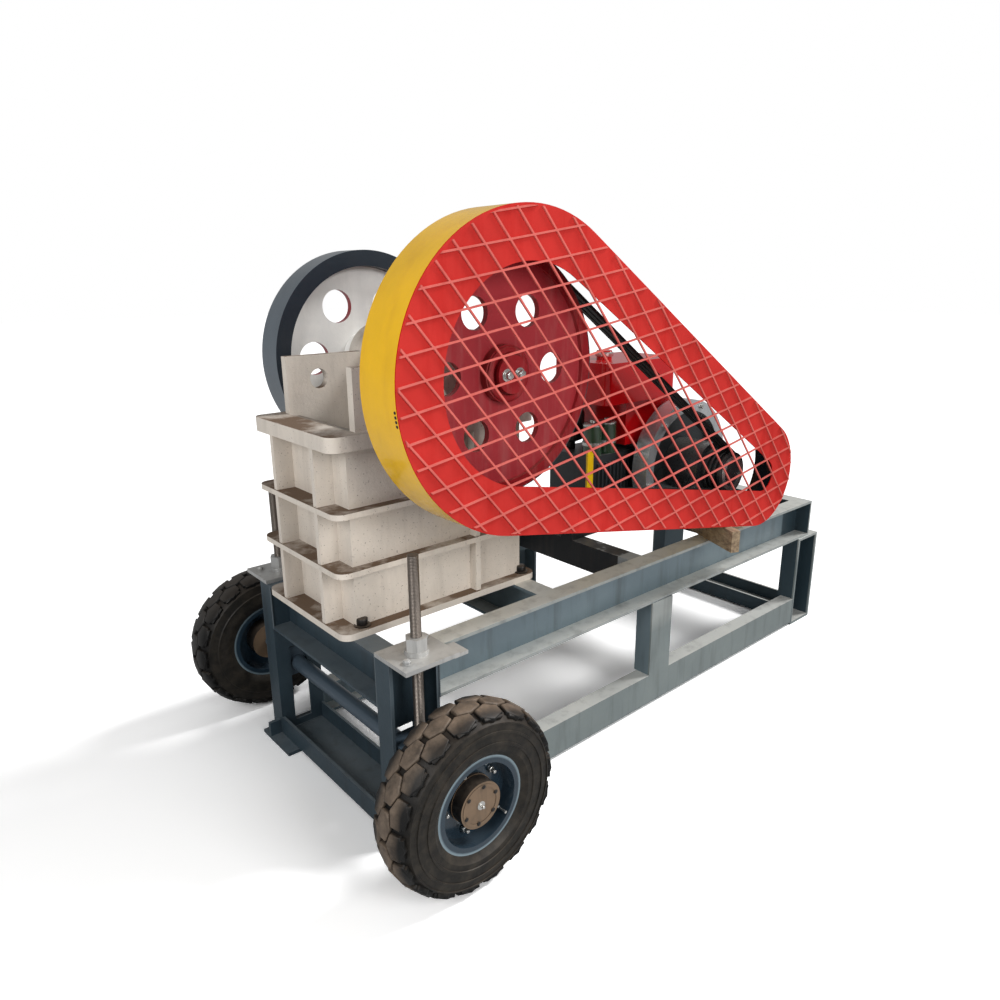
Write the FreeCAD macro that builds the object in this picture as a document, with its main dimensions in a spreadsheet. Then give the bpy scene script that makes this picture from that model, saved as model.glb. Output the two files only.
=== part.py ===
"""A small jaw crusher on a wheeled steel frame, driven by belts from a single-cylinder engine.

Lengths are in millimetres. X runs from the crusher's end to the engine's end, -Y is the guard's side
(called near, the other side is far), and Z is up from the ground.
"""
import FreeCAD
import Part
import Sketcher
import math
import os
import re

NEAR, FAR = -1, 1
SIDES = ((NEAR, "near"), (FAR, "far"))

SIZES = {
    # frame
    "lower_length": 2293,
    "upper_length": 2219,
    "frame_half": 392,
    "sill_half": 397,
    "rail_top": 573,
    "rail_height": 160,
    "rail_depth": 70,
    "web": 8,
    "flange": 10,
    "post_width": 160,
    "mid_post_x": 1102,
    "mid_post_width": 116,
    "lower_rail_height": 115,
    "lower_rail_depth": 60,
    "lower_cross_height": 65,
    "cross_mid_x": 600,
    "cap_thick": 10,
    "pad_thick": 12,
    "pad_reach": 40,
    "pad_length": 193,
    "gusset_height": 50,
    "gusset_thick": 14,
    # wheel axle and its two screw jacks
    "axle_x": 80,
    "tyre_radius": 259,
    "tyre_width": 144,
    "track_half": 609,
    "shoulder_radius": 238,
    "shoulder_step": 21,
    "rim_radius": 138.5,
    "rim_bore": 122,
    "rim_inset": 16,
    "rim_lip": 9,
    "disc_inset": 62,
    "disc_thick": 10,
    "hub_radius": 66,
    "hub_length": 70,
    "hub_cap_radius": 64,
    "hub_cap_length": 38,
    "spindle_radius": 20,
    "spindle_end": 20,
    "axle_radius": 25,
    "axle_up": 40,
    "axle_down": 180,
    "slide_gap": 6,
    "carrier_height": 105,
    "carrier_below": 45,
    "jack_y": 405,
    "screw_radius": 15,
    "screw_top": 861,
    "jack_plate_half": 75.5,
    "jack_plate_length": 171,
    "jack_plate_thick": 12,
    "packer_length": 45,
    "nut_flats": 54,
    "nut_height": 36,
    "collar_radius": 33,
    "collar_height": 12,
    "screw_gap": 0.4,
    # crusher casting
    "crusher_y": 25,
    "flange_front": -28,
    "casting_length": 729,
    "base_half": 240,
    "rib_half": 238,
    "top_half": 232,
    "corner_round": 34,
    "base_thick": 20,
    "rib_thick": 16,
    "top_thick": 42,
    "casting_height": 573,
    "lower_rib_rise": 183,
    "upper_rib_rise": 350,
    "wall_front": 33,
    "wall_rear": 656,
    "mouth_half": 175,
    "cheek_thick": 28,
    "front_wall": 31,
    "rear_wall": 40,
    "front_rib_spread": 120,
    "front_rib_thick": 18,
    "side_rib_x": 448,
    "cheek_front": 67,
    "cheek_rear": 610,
    "cheek_rise": 170,
    "lift_hole_x": 172,
    "lift_hole_drop": 72,
    "lift_hole_radius": 30,
    "jaw_plate": 32,
    "jaw_side_gap": 5,
    "gape": 200,
    "discharge": 40,
    "jaw_foot_rise": 45,
    "jaw_thick": 95,
    "pitman_radius": 92,
    "toggle_thick": 36,
    "toggle_rise": 150,
    # crusher shaft, flywheel and pulley
    "shaft_x": 430,
    "shaft_z": 1287,
    "shaft_radius": 45,
    "running_gap": 0.1,
    "bearing_radius": 110,
    "bearing_width": 72,
    "wheel_radius": 338,
    "flywheel_y": 316,
    "flywheel_width": 100,
    "flywheel_rim": 50,
    "flywheel_web": 22,
    "flywheel_hole": 53,
    "hole_circle": 187,
    "wheel_hub": 78,
    "pulley_y": 292,
    "pulley_width": 76,
    "pulley_rim": 34,
    "pulley_web": 18,
    "pulley_web_back": 12,
    "pulley_hole": 44,
    "shaft_end": 392,
    "end_plate_radius": 52,
    "end_plate_thick": 10,
    # belts
    "belt_width": 13,
    "belt_pitch": 20,
    "belt_depth": 10,
    "belt_proud": 1,
    "groove_gap": 0.5,
    # engine
    "engine_x": 1590,
    "engine_z": 806,
    "engine_pulley_radius": 80,
    "engine_hub_radius": 105,
    "engine_wheel_radius": 258,
    "engine_wheel_rim": 45,
    "engine_wheel_y": 90,
    "engine_wheel_width": 70,
    "engine_shaft_radius": 32,
    "crank_depth": 60,
    "beam_front_x": 1050,
    "beam_rear_x": 1720,
    "beam_width": 70,
    "beam_height": 100,
    "bearer_y": 45,
    "bearer_far_y": 150,
    "bearer_width": 60,
    "bearer_height": 40,
    "crankcase_x": 1400,
    "crankcase_length": 360,
    "crankcase_height": 290,
    "engine_near_y": -70,
    "engine_width": 280,
    "cylinder_x": 1150,
    "cylinder_rise": 50,
    "cylinder_height": 215,
    "cylinder_width": 220,
    "hood_x": 1330,
    "hood_length": 330,
    "tank_x": 1190,
    "tank_length": 420,
    "tank_base": 1072,
    "tank_height": 155,
    "tank_round": 28,
    "filler_radius": 30,
    "filler_height": 34,
    "filter_radius": 36,
    "filter_height": 118,
    "filter_spacing": 82,
    "strap_x": 1116,
    "strap_width": 32,
    "strap_thick": 8,
    "strap_height": 314,
    # guard
    "guard_radius": 427,
    "guard_tail_x": 1634,
    "guard_tail_z": 809,
    "guard_tail_radius": 196,
    "guard_sheet": 3,
    "guard_face_y": 478,
    "guard_depth": 154,
    "guard_rim": 136,
    "mesh_wire": 5,
    "mesh_side": 80,
    "mesh_rise_angle": 9,
    "mesh_fall_angle": -49,
    "bracket_width": 60,
    "bracket_thick": 8,
    "bracket_lap": 40,
    # timber under the guard
    "timber_x": 1378,
    "timber_reach": 522,
    "timber_length": 340,
    "timber_width": 33,
    "timber_height": 80,
    "timber_skew": 23.5,
    "seat_gap": 0.3,
}

# The document's origin is under the middle of the whole object, so every X place starts here.
FRONT = "(tyre_radius - axle_x - lower_length) / 2"
INNER = "(frame_half - rail_depth)"
RAIL_BASE = "(rail_top - rail_height)"
POST_TOP_REAR = "(rail_top - rail_height - cap_thick)"
CASTING_TOP = "(rail_top + casting_height)"

doc = FreeCAD.newDocument("jaw_crusher")
sheet = doc.addObject("Spreadsheet::Sheet", "sizes")
for row, (alias, number) in enumerate(SIZES.items(), 1):
    sheet.set(f"A{row}", alias)
    sheet.set(f"B{row}", str(number))
    sheet.setAlias(f"B{row}", alias)
doc.recompute()
nodes = []


def bound(text):
    """An expression in which each size's name is looked up on the sheet."""
    return re.sub(r"[a-z]\w+", lambda word: ("sizes." if word[0] in SIZES else "") + word[0], str(text))


def size(alias):
    """A size's number as the sheet holds it."""
    return float(getattr(sheet, alias))


def front_x():
    """Where FRONT puts the X origin of the sizes, as a number."""
    return (size("tyre_radius") - size("axle_x") - size("lower_length")) / 2


def place(thing, corner):
    """Bind an object's place to three expressions."""
    for axis, text in zip("xyz", corner):
        thing.setExpression(f"Placement.Base.{axis}", bound(text))


def outward(side, inner, width):
    """The low Y of a stretch that starts at inner and runs outward by width, on either side."""
    return inner if side == FAR else f"-({inner}) - ({width})"


def box(name, corner, lengths):
    thing = doc.addObject("Part::Box", name)
    for edge, text in zip(("Length", "Width", "Height"), lengths):
        thing.setExpression(edge, bound(text))
    place(thing, corner)
    return thing


def side_box(name, side, corner, lengths):
    """A box whose corner's Y is measured outward from the middle of the frame."""
    x, y, z = corner
    return box(name, (x, outward(side, y, lengths[1]), z), lengths)


AXES = {"X": FreeCAD.Rotation(FreeCAD.Vector(0, 1, 0), 90),
        "Y": FreeCAD.Rotation(FreeCAD.Vector(1, 0, 0), -90),
        "Z": FreeCAD.Rotation()}


def rod(name, axis, start, radius, length):
    """A cylinder from its start along +X, +Y or +Z."""
    thing = doc.addObject("Part::Cylinder", name)
    thing.Placement = FreeCAD.Placement(FreeCAD.Vector(), AXES[axis])
    thing.setExpression("Radius", bound(radius))
    thing.setExpression("Height", bound(length))
    place(thing, start)
    return thing


def join(name, pieces):
    thing = doc.addObject("Part::MultiFuse", name)
    thing.Shapes = pieces
    thing.Refine = True
    return thing


def cut(name, base, tool):
    thing = doc.addObject("Part::Cut", name)
    thing.Base = base
    thing.Tool = tool
    thing.Refine = True
    return thing


def group(name, pieces):
    """Like pieces that don't touch, in one node."""
    thing = doc.addObject("Part::Compound", name)
    thing.Links = pieces
    return thing


def solid(name, shape):
    """A shape that is worked out here from the sheet's sizes."""
    thing = doc.addObject("Part::Feature", name)
    thing.Shape = shape
    return thing


def node(thing):
    """Mark an object as a sub-part: its label names its file."""
    thing.Label = thing.Name
    nodes.append(thing)
    return thing


def origin_plane(body, role):
    return next(item for item in body.Origin.OriginFeatures if item.Role == role)


def outline(body, role, points):
    """A closed sketch through points, each held by two expressions from the body's origin."""
    sketch = body.newObject("Sketcher::SketchObject", body.Name + "_outline")
    sketch.AttachmentSupport = [(origin_plane(body, role), "")]
    sketch.MapMode = "FlatFace"
    guess = [FreeCAD.Vector(10 * math.cos(2 * math.pi * i / len(points)) + 20,
                            10 * math.sin(2 * math.pi * i / len(points)) + 20, 0)
             for i in range(len(points))]
    for i, start in enumerate(guess):
        sketch.addGeometry(Part.LineSegment(start, guess[(i + 1) % len(guess)]), False)
    for i in range(len(points)):
        sketch.addConstraint(Sketcher.Constraint("Coincident", i, 2, (i + 1) % len(points), 1))
    for i, (across, along) in enumerate(points):
        for kind, text, axis in (("DistanceX", across, -2), ("DistanceY", along, -1)):
            if text == "0":
                sketch.addConstraint(Sketcher.Constraint("PointOnObject", i, 1, axis))
                continue
            held = sketch.addConstraint(Sketcher.Constraint(kind, -1, 1, i, 1, 10.0))
            sketch.setExpression(f"Constraints[{held}]", bound(text))
    return sketch


def turned(name, side, place_at, points):
    """A piece turned about its own Y axis; points are (radius, distance outward)."""
    body = doc.addObject("PartDesign::Body", name)
    body.Placement = FreeCAD.Placement(FreeCAD.Vector(), FreeCAD.Rotation(FreeCAD.Vector(0, 0, 1), 90 - 90 * side))
    place(body, place_at)
    sketch = outline(body, "XY_Plane", points)
    turning = body.newObject("PartDesign::Revolution", name + "_turned")
    turning.Profile = sketch
    turning.ReferenceAxis = (sketch, ["V_Axis"])
    turning.Angle = 360
    body.Tip = turning
    return body


def padded(name, place_at, points, width):
    """An outline in X and Z from place_at, padded evenly to both sides along Y."""
    body = doc.addObject("PartDesign::Body", name)
    place(body, place_at)
    sketch = outline(body, "XZ_Plane", points)
    pad = body.newObject("PartDesign::Pad", name + "_pad")
    pad.Profile = sketch
    pad.setExpression("Length", bound(width))
    pad.SideType = "Symmetric"
    body.Tip = pad
    return body


def rounded_plate(name, corner, lengths, radius):
    """A flat plate with its four upright edges rounded."""
    long, wide, thick = lengths
    body = doc.addObject("PartDesign::Body", name)
    place(body, corner)
    sketch = outline(body, "XY_Plane", [("0", "0"), (long, "0"), (long, wide), ("0", wide)])
    pad = body.newObject("PartDesign::Pad", name + "_pad")
    pad.Profile = sketch
    pad.setExpression("Length", bound(thick))
    body.Tip = pad
    doc.recompute()
    upright = [f"Edge{i}" for i, edge in enumerate(pad.Shape.Edges, 1)
               if abs(edge.Vertexes[0].Z - edge.Vertexes[-1].Z) > 1]
    rounding = body.newObject("PartDesign::Fillet", name + "_round")
    rounding.Base = (pad, upright)
    rounding.setExpression("Radius", bound(radius))
    body.Tip = rounding
    return body


def channel(name, side, corner, lengths, hollow_shift, hollow_lengths):
    """A rolled channel: a bar less the hollow between its flanges."""
    bar = side_box(name + "_bar", side, corner, lengths)
    inner = [f"{place_text} + {shift}" for place_text, shift in zip(corner, hollow_shift)]
    hollow = side_box(name + "_hollow", side, inner, hollow_lengths)
    return cut(name, bar, hollow)


def tangents(two_circles):
    """The angles at which the upper and the lower straight run touch both circles."""
    (x1, z1, r1), (x2, z2, r2) = two_circles
    along = math.atan2(z2 - z1, x2 - x1)
    lean = math.acos((r1 - r2) / math.hypot(x2 - x1, z2 - z1))
    return along, along + lean, along - lean


def rim_point(circle, angle):
    x, z, radius = circle
    return FreeCAD.Vector(x + radius * math.cos(angle), 0, z + radius * math.sin(angle))


def around(two_circles):
    """The closed outline that wraps two circles (x, z, radius), as a face in X and Z."""
    first, second = two_circles
    along, top, low = tangents(two_circles)
    corners = [rim_point(first, top), rim_point(second, top), rim_point(second, low), rim_point(first, low)]
    edges = [Part.LineSegment(corners[0], corners[1]).toShape(),
             Part.Arc(corners[1], rim_point(second, along), corners[2]).toShape(),
             Part.LineSegment(corners[2], corners[3]).toShape(),
             Part.Arc(corners[3], rim_point(first, along + math.pi), corners[0]).toShape()]
    return Part.Face(Part.Wire(edges))


def ring_around(two_circles, inward, near_y, far_y):
    """A loop of even thickness, grown inward from the outline, between two Y places."""
    inner = [(x, z, radius - inward) for x, z, radius in two_circles]
    band = around(two_circles).cut(around(inner))
    band.translate(FreeCAD.Vector(0, near_y, 0))
    return band.extrude(FreeCAD.Vector(0, far_y - near_y, 0))


# ---------------------------------------------------------------- frame

def upper_rails():
    for side, word in SIDES:
        length = "upper_length - post_width - web"
        node(channel(f"upper_rail_{word}", side, (f"{FRONT} + post_width", INNER, RAIL_BASE),
                     (length, "rail_depth", "rail_height"), ("0", "web", "flange"),
                     (length, "rail_depth - web", "rail_height - 2 * flange")))


def upper_cross_members():
    width = f"2 * {INNER}"
    members = [channel(f"upper_cross_{word}", FAR, (x, f"-{INNER}", RAIL_BASE),
                       ("rail_depth", width, "rail_height"), ("0", "0", "flange"),
                       ("rail_depth - web", width, "rail_height - 2 * flange"))
               for word, x in (("front", FRONT), ("mid", f"{FRONT} + cross_mid_x"))]
    node(group("upper_cross_members", members))
    end = channel("upper_cross_rear_channel", FAR, (f"{FRONT} + upper_length - rail_depth", f"-{INNER}", RAIL_BASE),
                  ("rail_depth", width, "rail_height"), ("0", "0", "flange"),
                  ("rail_depth - web", width, "rail_height - 2 * flange"))
    plate = box("upper_cross_rear_plate", (f"{FRONT} + upper_length - web", "-frame_half", RAIL_BASE),
                ("web", "2 * frame_half", "rail_height"))
    node(join("upper_cross_rear", [end, plate]))


def front_posts():
    """Channels open outward, whose webs have a tall slot for the wheel axle."""
    for side, word in SIDES:
        height = "rail_top - pad_thick"
        post = channel(f"front_post_{word}_channel", side, (FRONT, INNER, "pad_thick"),
                       ("post_width", "rail_depth", height), ("flange", "web", "0"),
                       ("post_width - 2 * flange", "rail_depth - web", height))
        half = "(axle_radius + slide_gap)"
        slot = side_box(f"front_post_{word}_slot", side,
                        (f"{FRONT} + axle_x - {half}", f"{INNER} - 1", f"tyre_radius - axle_down - {half}"),
                        (f"2 * {half}", "web + 2", f"axle_up + axle_down + 2 * {half}"))
        node(cut(f"front_post_{word}", post, slot))


def rear_posts():
    posts = [channel(f"rear_post_{word}", side, (f"{FRONT} + lower_length - post_width", INNER, "pad_thick"),
                     ("post_width", f"sill_half - {INNER}", f"{POST_TOP_REAR} - pad_thick"),
                     ("flange", "web", "0"),
                     ("post_width - 2 * flange", f"sill_half - {INNER} - web", f"{POST_TOP_REAR} - pad_thick"))
             for side, word in SIDES]
    node(group("rear_posts", posts))
    node(box("rear_top_plate", (f"{FRONT} + lower_length - post_width", "-sill_half", POST_TOP_REAR),
             ("post_width", "2 * sill_half", "cap_thick")))


def mid_posts():
    base = "(pad_thick + lower_rail_height)"
    posts = [channel(f"mid_post_{word}", side, (f"{FRONT} + mid_post_x", "sill_half - rail_depth", base),
                     ("mid_post_width", "rail_depth", f"{RAIL_BASE} - {base}"), ("flange", "0", "0"),
                     ("mid_post_width - 2 * flange", "rail_depth - web", f"{RAIL_BASE} - {base}"))
             for side, word in SIDES]
    node(group("mid_posts", posts))


def lower_frame():
    length = "lower_length - 2 * post_width"
    rails = [channel(f"lower_rail_{word}", side, (f"{FRONT} + post_width", "sill_half - lower_rail_depth", "pad_thick"),
                     (length, "lower_rail_depth", "lower_rail_height"), ("0", "0", "flange"),
                     (length, "lower_rail_depth - web", "lower_rail_height - 2 * flange"))
             for side, word in SIDES]
    node(group("lower_rails", rails))
    members = [channel(f"lower_cross_{word}", FAR, (x, f"-{INNER}", "pad_thick"),
                       ("post_width", f"2 * {INNER}", "lower_cross_height"), ("flange", "0", "web"),
                       ("post_width - 2 * flange", f"2 * {INNER}", "lower_cross_height - web"))
               for word, x in (("front", FRONT), ("rear", f"{FRONT} + lower_length - post_width"))]
    node(group("lower_cross_members", members))


def foot_pads():
    """A long pad with a gusset under the far front post, and plain soles under the others."""
    reach = (f"{FRONT} - pad_reach", "sill_half - pad_length", "0")
    plate = side_box("front_pad_far_plate", FAR, reach, ("pad_reach + post_width", "pad_length", "pad_thick"))
    gusset = side_box("front_pad_far_gusset", FAR, (f"{FRONT} - pad_reach", f"{INNER} + gusset_thick", "pad_thick"),
                      ("pad_reach", "gusset_thick", "gusset_height"))
    pads = [join("front_pad_far", [plate, gusset])]
    rear = f"{FRONT} + lower_length - post_width"
    for word, side, x in (("front_near", NEAR, FRONT), ("rear_near", NEAR, rear), ("rear_far", FAR, rear)):
        pads.append(side_box(f"sole_{word}", side, (x, INNER, "0"),
                             ("post_width", f"sill_half - {INNER}", "pad_thick")))
    node(group("foot_pads", pads))


# ---------------------------------------------------------------- wheel axle and jacks

def jack_plates():
    plates = []
    for side, word in SIDES:
        plate = side_box(f"jack_plate_{word}_sheet", side,
                         (f"{FRONT} + axle_x - jack_plate_length / 2", "jack_y - jack_plate_half", "rail_top"),
                         ("jack_plate_length", "2 * jack_plate_half", "jack_plate_thick"))
        packer = side_box(f"jack_plate_{word}_packer", side,
                          (f"{FRONT} + post_width", "frame_half + flange", "rail_top - flange"),
                          ("packer_length", "jack_plate_half - flange", "flange"))
        hole = rod(f"jack_plate_{word}_hole", "Z",
                   (f"{FRONT} + axle_x", f"{side} * jack_y", "rail_top - 1"),
                   "screw_radius + 2", "jack_plate_thick + 2")
        plates.append(cut(f"jack_plate_{word}", join(f"jack_plate_{word}_pair", [plate, packer]), hole))
    node(group("jack_plates", plates))


def jack_nuts():
    nuts = []
    for side, word in SIDES:
        centre = FreeCAD.Vector(front_x() + size("axle_x"), side * size("jack_y"),
                                size("rail_top") + size("jack_plate_thick"))
        corners = [FreeCAD.Vector(math.cos(math.radians(60 * i)), math.sin(math.radians(60 * i)), 0)
                   * (size("nut_flats") / math.sqrt(3)) + centre for i in range(7)]
        prism = Part.Face(Part.makePolygon(corners)).extrude(
            FreeCAD.Vector(0, 0, size("collar_height") + size("nut_height")))
        collar = Part.makeCylinder(size("collar_radius"), size("collar_height"), centre)
        bore = Part.makeCylinder(size("screw_radius") + size("screw_gap"), 2 * size("nut_height") + 2,
                                 centre - FreeCAD.Vector(0, 0, 1))
        nuts.append(solid(f"jack_nut_{word}", prism.fuse(collar).cut(bore).removeSplitter()))
    node(group("jack_nuts", nuts))


def axle():
    """The cross axle, its two carriers in the posts, and the screws that hold it."""
    half_tube = "(jack_y - screw_radius - 40)"
    tube = rod("axle_middle", "Y", (f"{FRONT} + axle_x", f"-{half_tube}", "tyre_radius"),
               "axle_radius", f"2 * {half_tube}")
    spindle = rod("axle_spindles", "Y", (f"{FRONT} + axle_x", "-(track_half + spindle_end)", "tyre_radius"),
                  "spindle_radius", "2 * (track_half + spindle_end)")
    beam = join("axle_beam", [tube, spindle])
    low = "(post_width / 2 - flange - slide_gap)"
    blocks, screws = [], []
    for side, word in SIDES:
        blocks.append(side_box(f"axle_carrier_{word}_block", side,
                               (f"{FRONT} + axle_x - {low}", f"{INNER} + web + slide_gap",
                                "tyre_radius - carrier_below"),
                               (f"2 * {low}", f"jack_y + screw_radius + 10 - {INNER} - web - slide_gap",
                                "carrier_height")))
        top = "(tyre_radius - carrier_below + carrier_height)"
        screws.append(rod(f"jack_screw_{word}", "Z", (f"{FRONT} + axle_x", f"{side} * jack_y", top),
                          "screw_radius", f"screw_top - {top}"))
    bore = rod("axle_carrier_bore", "Y", (f"{FRONT} + axle_x", "-(track_half + spindle_end)", "tyre_radius"),
               "spindle_radius", "2 * (track_half + spindle_end)")
    wide_bore = rod("axle_carrier_wide_bore", "Y", (f"{FRONT} + axle_x", f"-{half_tube}", "tyre_radius"),
                    "axle_radius", f"2 * {half_tube}")
    node(beam)
    node(cut("axle_carriers", group("axle_carrier_blocks", blocks),
             join("axle_carrier_bores", [bore, wide_bore])))
    node(group("jack_screws", screws))


def wheels():
    inner_face = "(track_half - tyre_width / 2)"
    for side, word in SIDES:
        start = (f"{FRONT} + axle_x", f"{side} * {inner_face}", "tyre_radius")
        node(turned(f"tyre_{word}", side, start, [
            ("rim_bore", "rim_inset + rim_lip"), ("rim_radius", "rim_inset + rim_lip"),
            ("rim_radius + 30", "0"), ("shoulder_radius", "4"),
            ("tyre_radius", "shoulder_step"), ("tyre_radius", "tyre_width - shoulder_step"),
            ("shoulder_radius", "tyre_width - 4"), ("rim_radius + 30", "tyre_width"),
            ("rim_radius", "tyre_width - rim_inset - rim_lip"), ("rim_bore", "tyre_width - rim_inset - rim_lip")]))
        disc = "(tyre_width - disc_inset)"
        node(turned(f"rim_{word}", side, start, [
            ("rim_radius", "rim_inset"), ("rim_radius", "rim_inset + rim_lip"),
            ("rim_bore", "rim_inset + rim_lip"), ("rim_bore", "tyre_width - rim_inset - rim_lip"),
            ("rim_radius", "tyre_width - rim_inset - rim_lip"), ("rim_radius", "tyre_width - rim_inset"),
            ("rim_bore - 8", "tyre_width - rim_inset"), ("rim_bore - 8", disc),
            ("hub_radius", disc), ("hub_radius", f"{disc} - disc_thick"),
            ("rim_bore - 8", f"{disc} - disc_thick"), ("rim_bore - 8", "rim_inset")]))
        node(turned(f"hub_{word}", side, start, [
            ("spindle_radius + running_gap", f"{disc} - hub_length"), ("hub_radius", f"{disc} - hub_length"),
            ("hub_radius", f"{disc} + 8"), ("hub_cap_radius", f"{disc} + 8"),
            ("hub_cap_radius", f"{disc} + 8 + hub_cap_length"), ("0", f"{disc} + 8 + hub_cap_length"),
            ("0", "tyre_width / 2 + spindle_end + 1"),
            ("spindle_radius + running_gap", "tyre_width / 2 + spindle_end + 1")]))


# ---------------------------------------------------------------- crusher

def crusher_frame():
    """One steel casting: flanged box walls, ribs, and two cheeks that hold the shaft."""
    x = f"{FRONT} + flange_front"

    def shelf(word, half, rise, thick):
        return rounded_plate(f"casting_{word}", (x, f"crusher_y - {half}", f"rail_top + {rise}"),
                             ("casting_length", f"2 * {half}", thick), "corner_round")

    wall_half = "(mouth_half + cheek_thick)"
    pieces = [
        shelf("base", "base_half", "0", "base_thick"),
        shelf("lower_rib", "rib_half", "lower_rib_rise", "rib_thick"),
        shelf("upper_rib", "rib_half", "upper_rib_rise", "rib_thick"),
        shelf("top", "top_half", "casting_height - top_thick", "top_thick"),
        box("casting_walls", (f"{FRONT} + wall_front", f"crusher_y - {wall_half}", "rail_top"),
            ("wall_rear - wall_front", f"2 * {wall_half}", "casting_height")),
    ]
    for i in (-1, 1):
        pieces.append(box(f"casting_front_rib_{i + 1}",
                          (f"{x} + 4", f"crusher_y + {i} * front_rib_spread - front_rib_thick / 2",
                           "rail_top + base_thick"),
                          ("wall_front - flange_front", "front_rib_thick",
                           "casting_height - base_thick - top_thick / 2")))
        pieces.append(box(f"casting_rear_rib_{i + 1}",
                          (f"{FRONT} + wall_rear - 1", f"crusher_y + {i} * front_rib_spread - front_rib_thick / 2",
                           "rail_top + base_thick"),
                          ("flange_front + casting_length - wall_rear - 4", "front_rib_thick",
                           "casting_height - base_thick - top_thick / 2")))
    pieces.append(box("casting_side_ribs",
                      (f"{FRONT} + side_rib_x", "crusher_y - rib_half + 6", "rail_top + base_thick"),
                      ("front_rib_thick", "2 * (rib_half - 6)", "casting_height - base_thick - top_thick / 2")))
    cheeks = box("casting_cheeks", (f"{FRONT} + cheek_front", f"crusher_y - {wall_half}", f"{CASTING_TOP} - top_thick"),
                 ("cheek_rear - cheek_front", f"2 * {wall_half}", "cheek_rise + top_thick"))
    pieces.append(cheeks)
    hollow = [
        box("casting_chamber", (f"{FRONT} + wall_front + front_wall", "crusher_y - mouth_half", "rail_top - 1"),
            ("wall_rear - wall_front - front_wall - rear_wall", "2 * mouth_half", "casting_height + cheek_rise + 2")),
        rod("casting_lift_hole", "Y", (f"{FRONT} + lift_hole_x", "crusher_y - 300",
                                       f"{CASTING_TOP} + cheek_rise - lift_hole_drop"),
            "lift_hole_radius", "600"),
        rod("casting_shaft_seat", "Y", (f"{FRONT} + shaft_x", "crusher_y - 300", "shaft_z"),
            "bearing_radius", "600"),
    ]
    node(cut("crusher_frame", join("casting_full", pieces), join("casting_hollows", hollow)))


def jaws():
    chamber_front = f"{FRONT} + wall_front + front_wall"
    node(box("fixed_jaw", (chamber_front, "crusher_y - mouth_half + jaw_side_gap", "rail_top + jaw_foot_rise"),
             ("jaw_plate", "2 * (mouth_half - jaw_side_gap)", "casting_height - jaw_foot_rise - 6")))
    start = (f"{FRONT} + wall_front + front_wall + jaw_plate", "crusher_y", "rail_top + jaw_foot_rise")
    high = "(casting_height - jaw_foot_rise)"
    back = "(shaft_x - wall_front - front_wall - jaw_plate)"
    rise = "(shaft_z - rail_top - jaw_foot_rise)"
    slab = padded("moving_jaw_slab", start,
                  [("discharge", "0"), ("discharge + jaw_thick", "0"), (f"{back} + pitman_radius", rise),
                   (f"{back}", rise), ("gape", high)],
                  "2 * (mouth_half - jaw_side_gap)")
    head = rod("moving_jaw_head", "Y", (f"{FRONT} + shaft_x", "crusher_y - mouth_half + jaw_side_gap", "shaft_z"),
               "pitman_radius", "2 * (mouth_half - jaw_side_gap)")
    bore = rod("moving_jaw_bore", "Y", (f"{FRONT} + shaft_x", "crusher_y - mouth_half", "shaft_z"),
               "shaft_radius + running_gap", "2 * mouth_half")
    node(cut("moving_jaw", join("moving_jaw_full", [slab, head]), bore))


def toggle():
    """The plate that backs the moving jaw's foot against the rear wall."""
    lean = ("(toggle_rise + toggle_thick)"
            " * (shaft_x - wall_front - front_wall - jaw_plate + pitman_radius - discharge - jaw_thick)")
    start = (f"wall_front + front_wall + jaw_plate + discharge + jaw_thick"
             f" + {lean} / (shaft_z - rail_top - jaw_foot_rise)")
    node(box("toggle_plate", (f"{FRONT} + {start}", "crusher_y - mouth_half + 3 * jaw_side_gap",
                              "rail_top + jaw_foot_rise + toggle_rise"),
             (f"wall_rear - rear_wall - ({start})", "2 * (mouth_half - 3 * jaw_side_gap)", "toggle_thick")))


def bearings():
    blocks = []
    for side, word in SIDES:
        start = (f"{FRONT} + shaft_x", f"crusher_y + ({outward(side, 'mouth_half', 'bearing_width')})", "shaft_z")
        drum = rod(f"bearing_{word}_drum", "Y", start, "bearing_radius", "bearing_width")
        bore = rod(f"bearing_{word}_bore", "Y", start, "shaft_radius + running_gap", "bearing_width")
        blocks.append(cut(f"bearing_{word}", drum, bore))
    node(group("bearing_blocks", blocks))


def shaft():
    journal = rod("crusher_shaft_bar", "Y", (f"{FRONT} + shaft_x", "-shaft_end", "shaft_z"),
                  "shaft_radius", "2 * shaft_end + flywheel_width / 4")
    plate = rod("crusher_shaft_plate", "Y", (f"{FRONT} + shaft_x", "-shaft_end - end_plate_thick", "shaft_z"),
                "end_plate_radius", "end_plate_thick")
    node(join("crusher_shaft", [journal, plate]))


def holed(name, wheel, radius, first, width):
    """A wheel with six holes round its web."""
    holes = [rod(f"{name}_hole_{i}", "Y",
                 (f"{FRONT} + shaft_x + hole_circle * cos({60 * i})", first, f"shaft_z + hole_circle * sin({60 * i})"),
                 radius, width) for i in range(6)]
    return cut(name, wheel, join(f"{name}_holes", holes))


def flywheel():
    web_in = "(flywheel_width / 2 - flywheel_web / 2)"
    web_out = "(flywheel_width / 2 + flywheel_web / 2)"
    rim = "wheel_radius - flywheel_rim"
    wheel = turned("flywheel_blank", FAR, (f"{FRONT} + shaft_x", "flywheel_y", "shaft_z"), [
        ("shaft_radius", "0"), ("wheel_hub", "0"), ("wheel_hub", web_in), (rim, web_in), (rim, "0"),
        ("wheel_radius", "0"), ("wheel_radius", "flywheel_width"), (rim, "flywheel_width"), (rim, web_out),
        ("wheel_hub", web_out), ("wheel_hub", "flywheel_width"), ("shaft_radius", "flywheel_width")])
    node(holed("flywheel", wheel, "flywheel_hole", "flywheel_y", "flywheel_width"))


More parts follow.
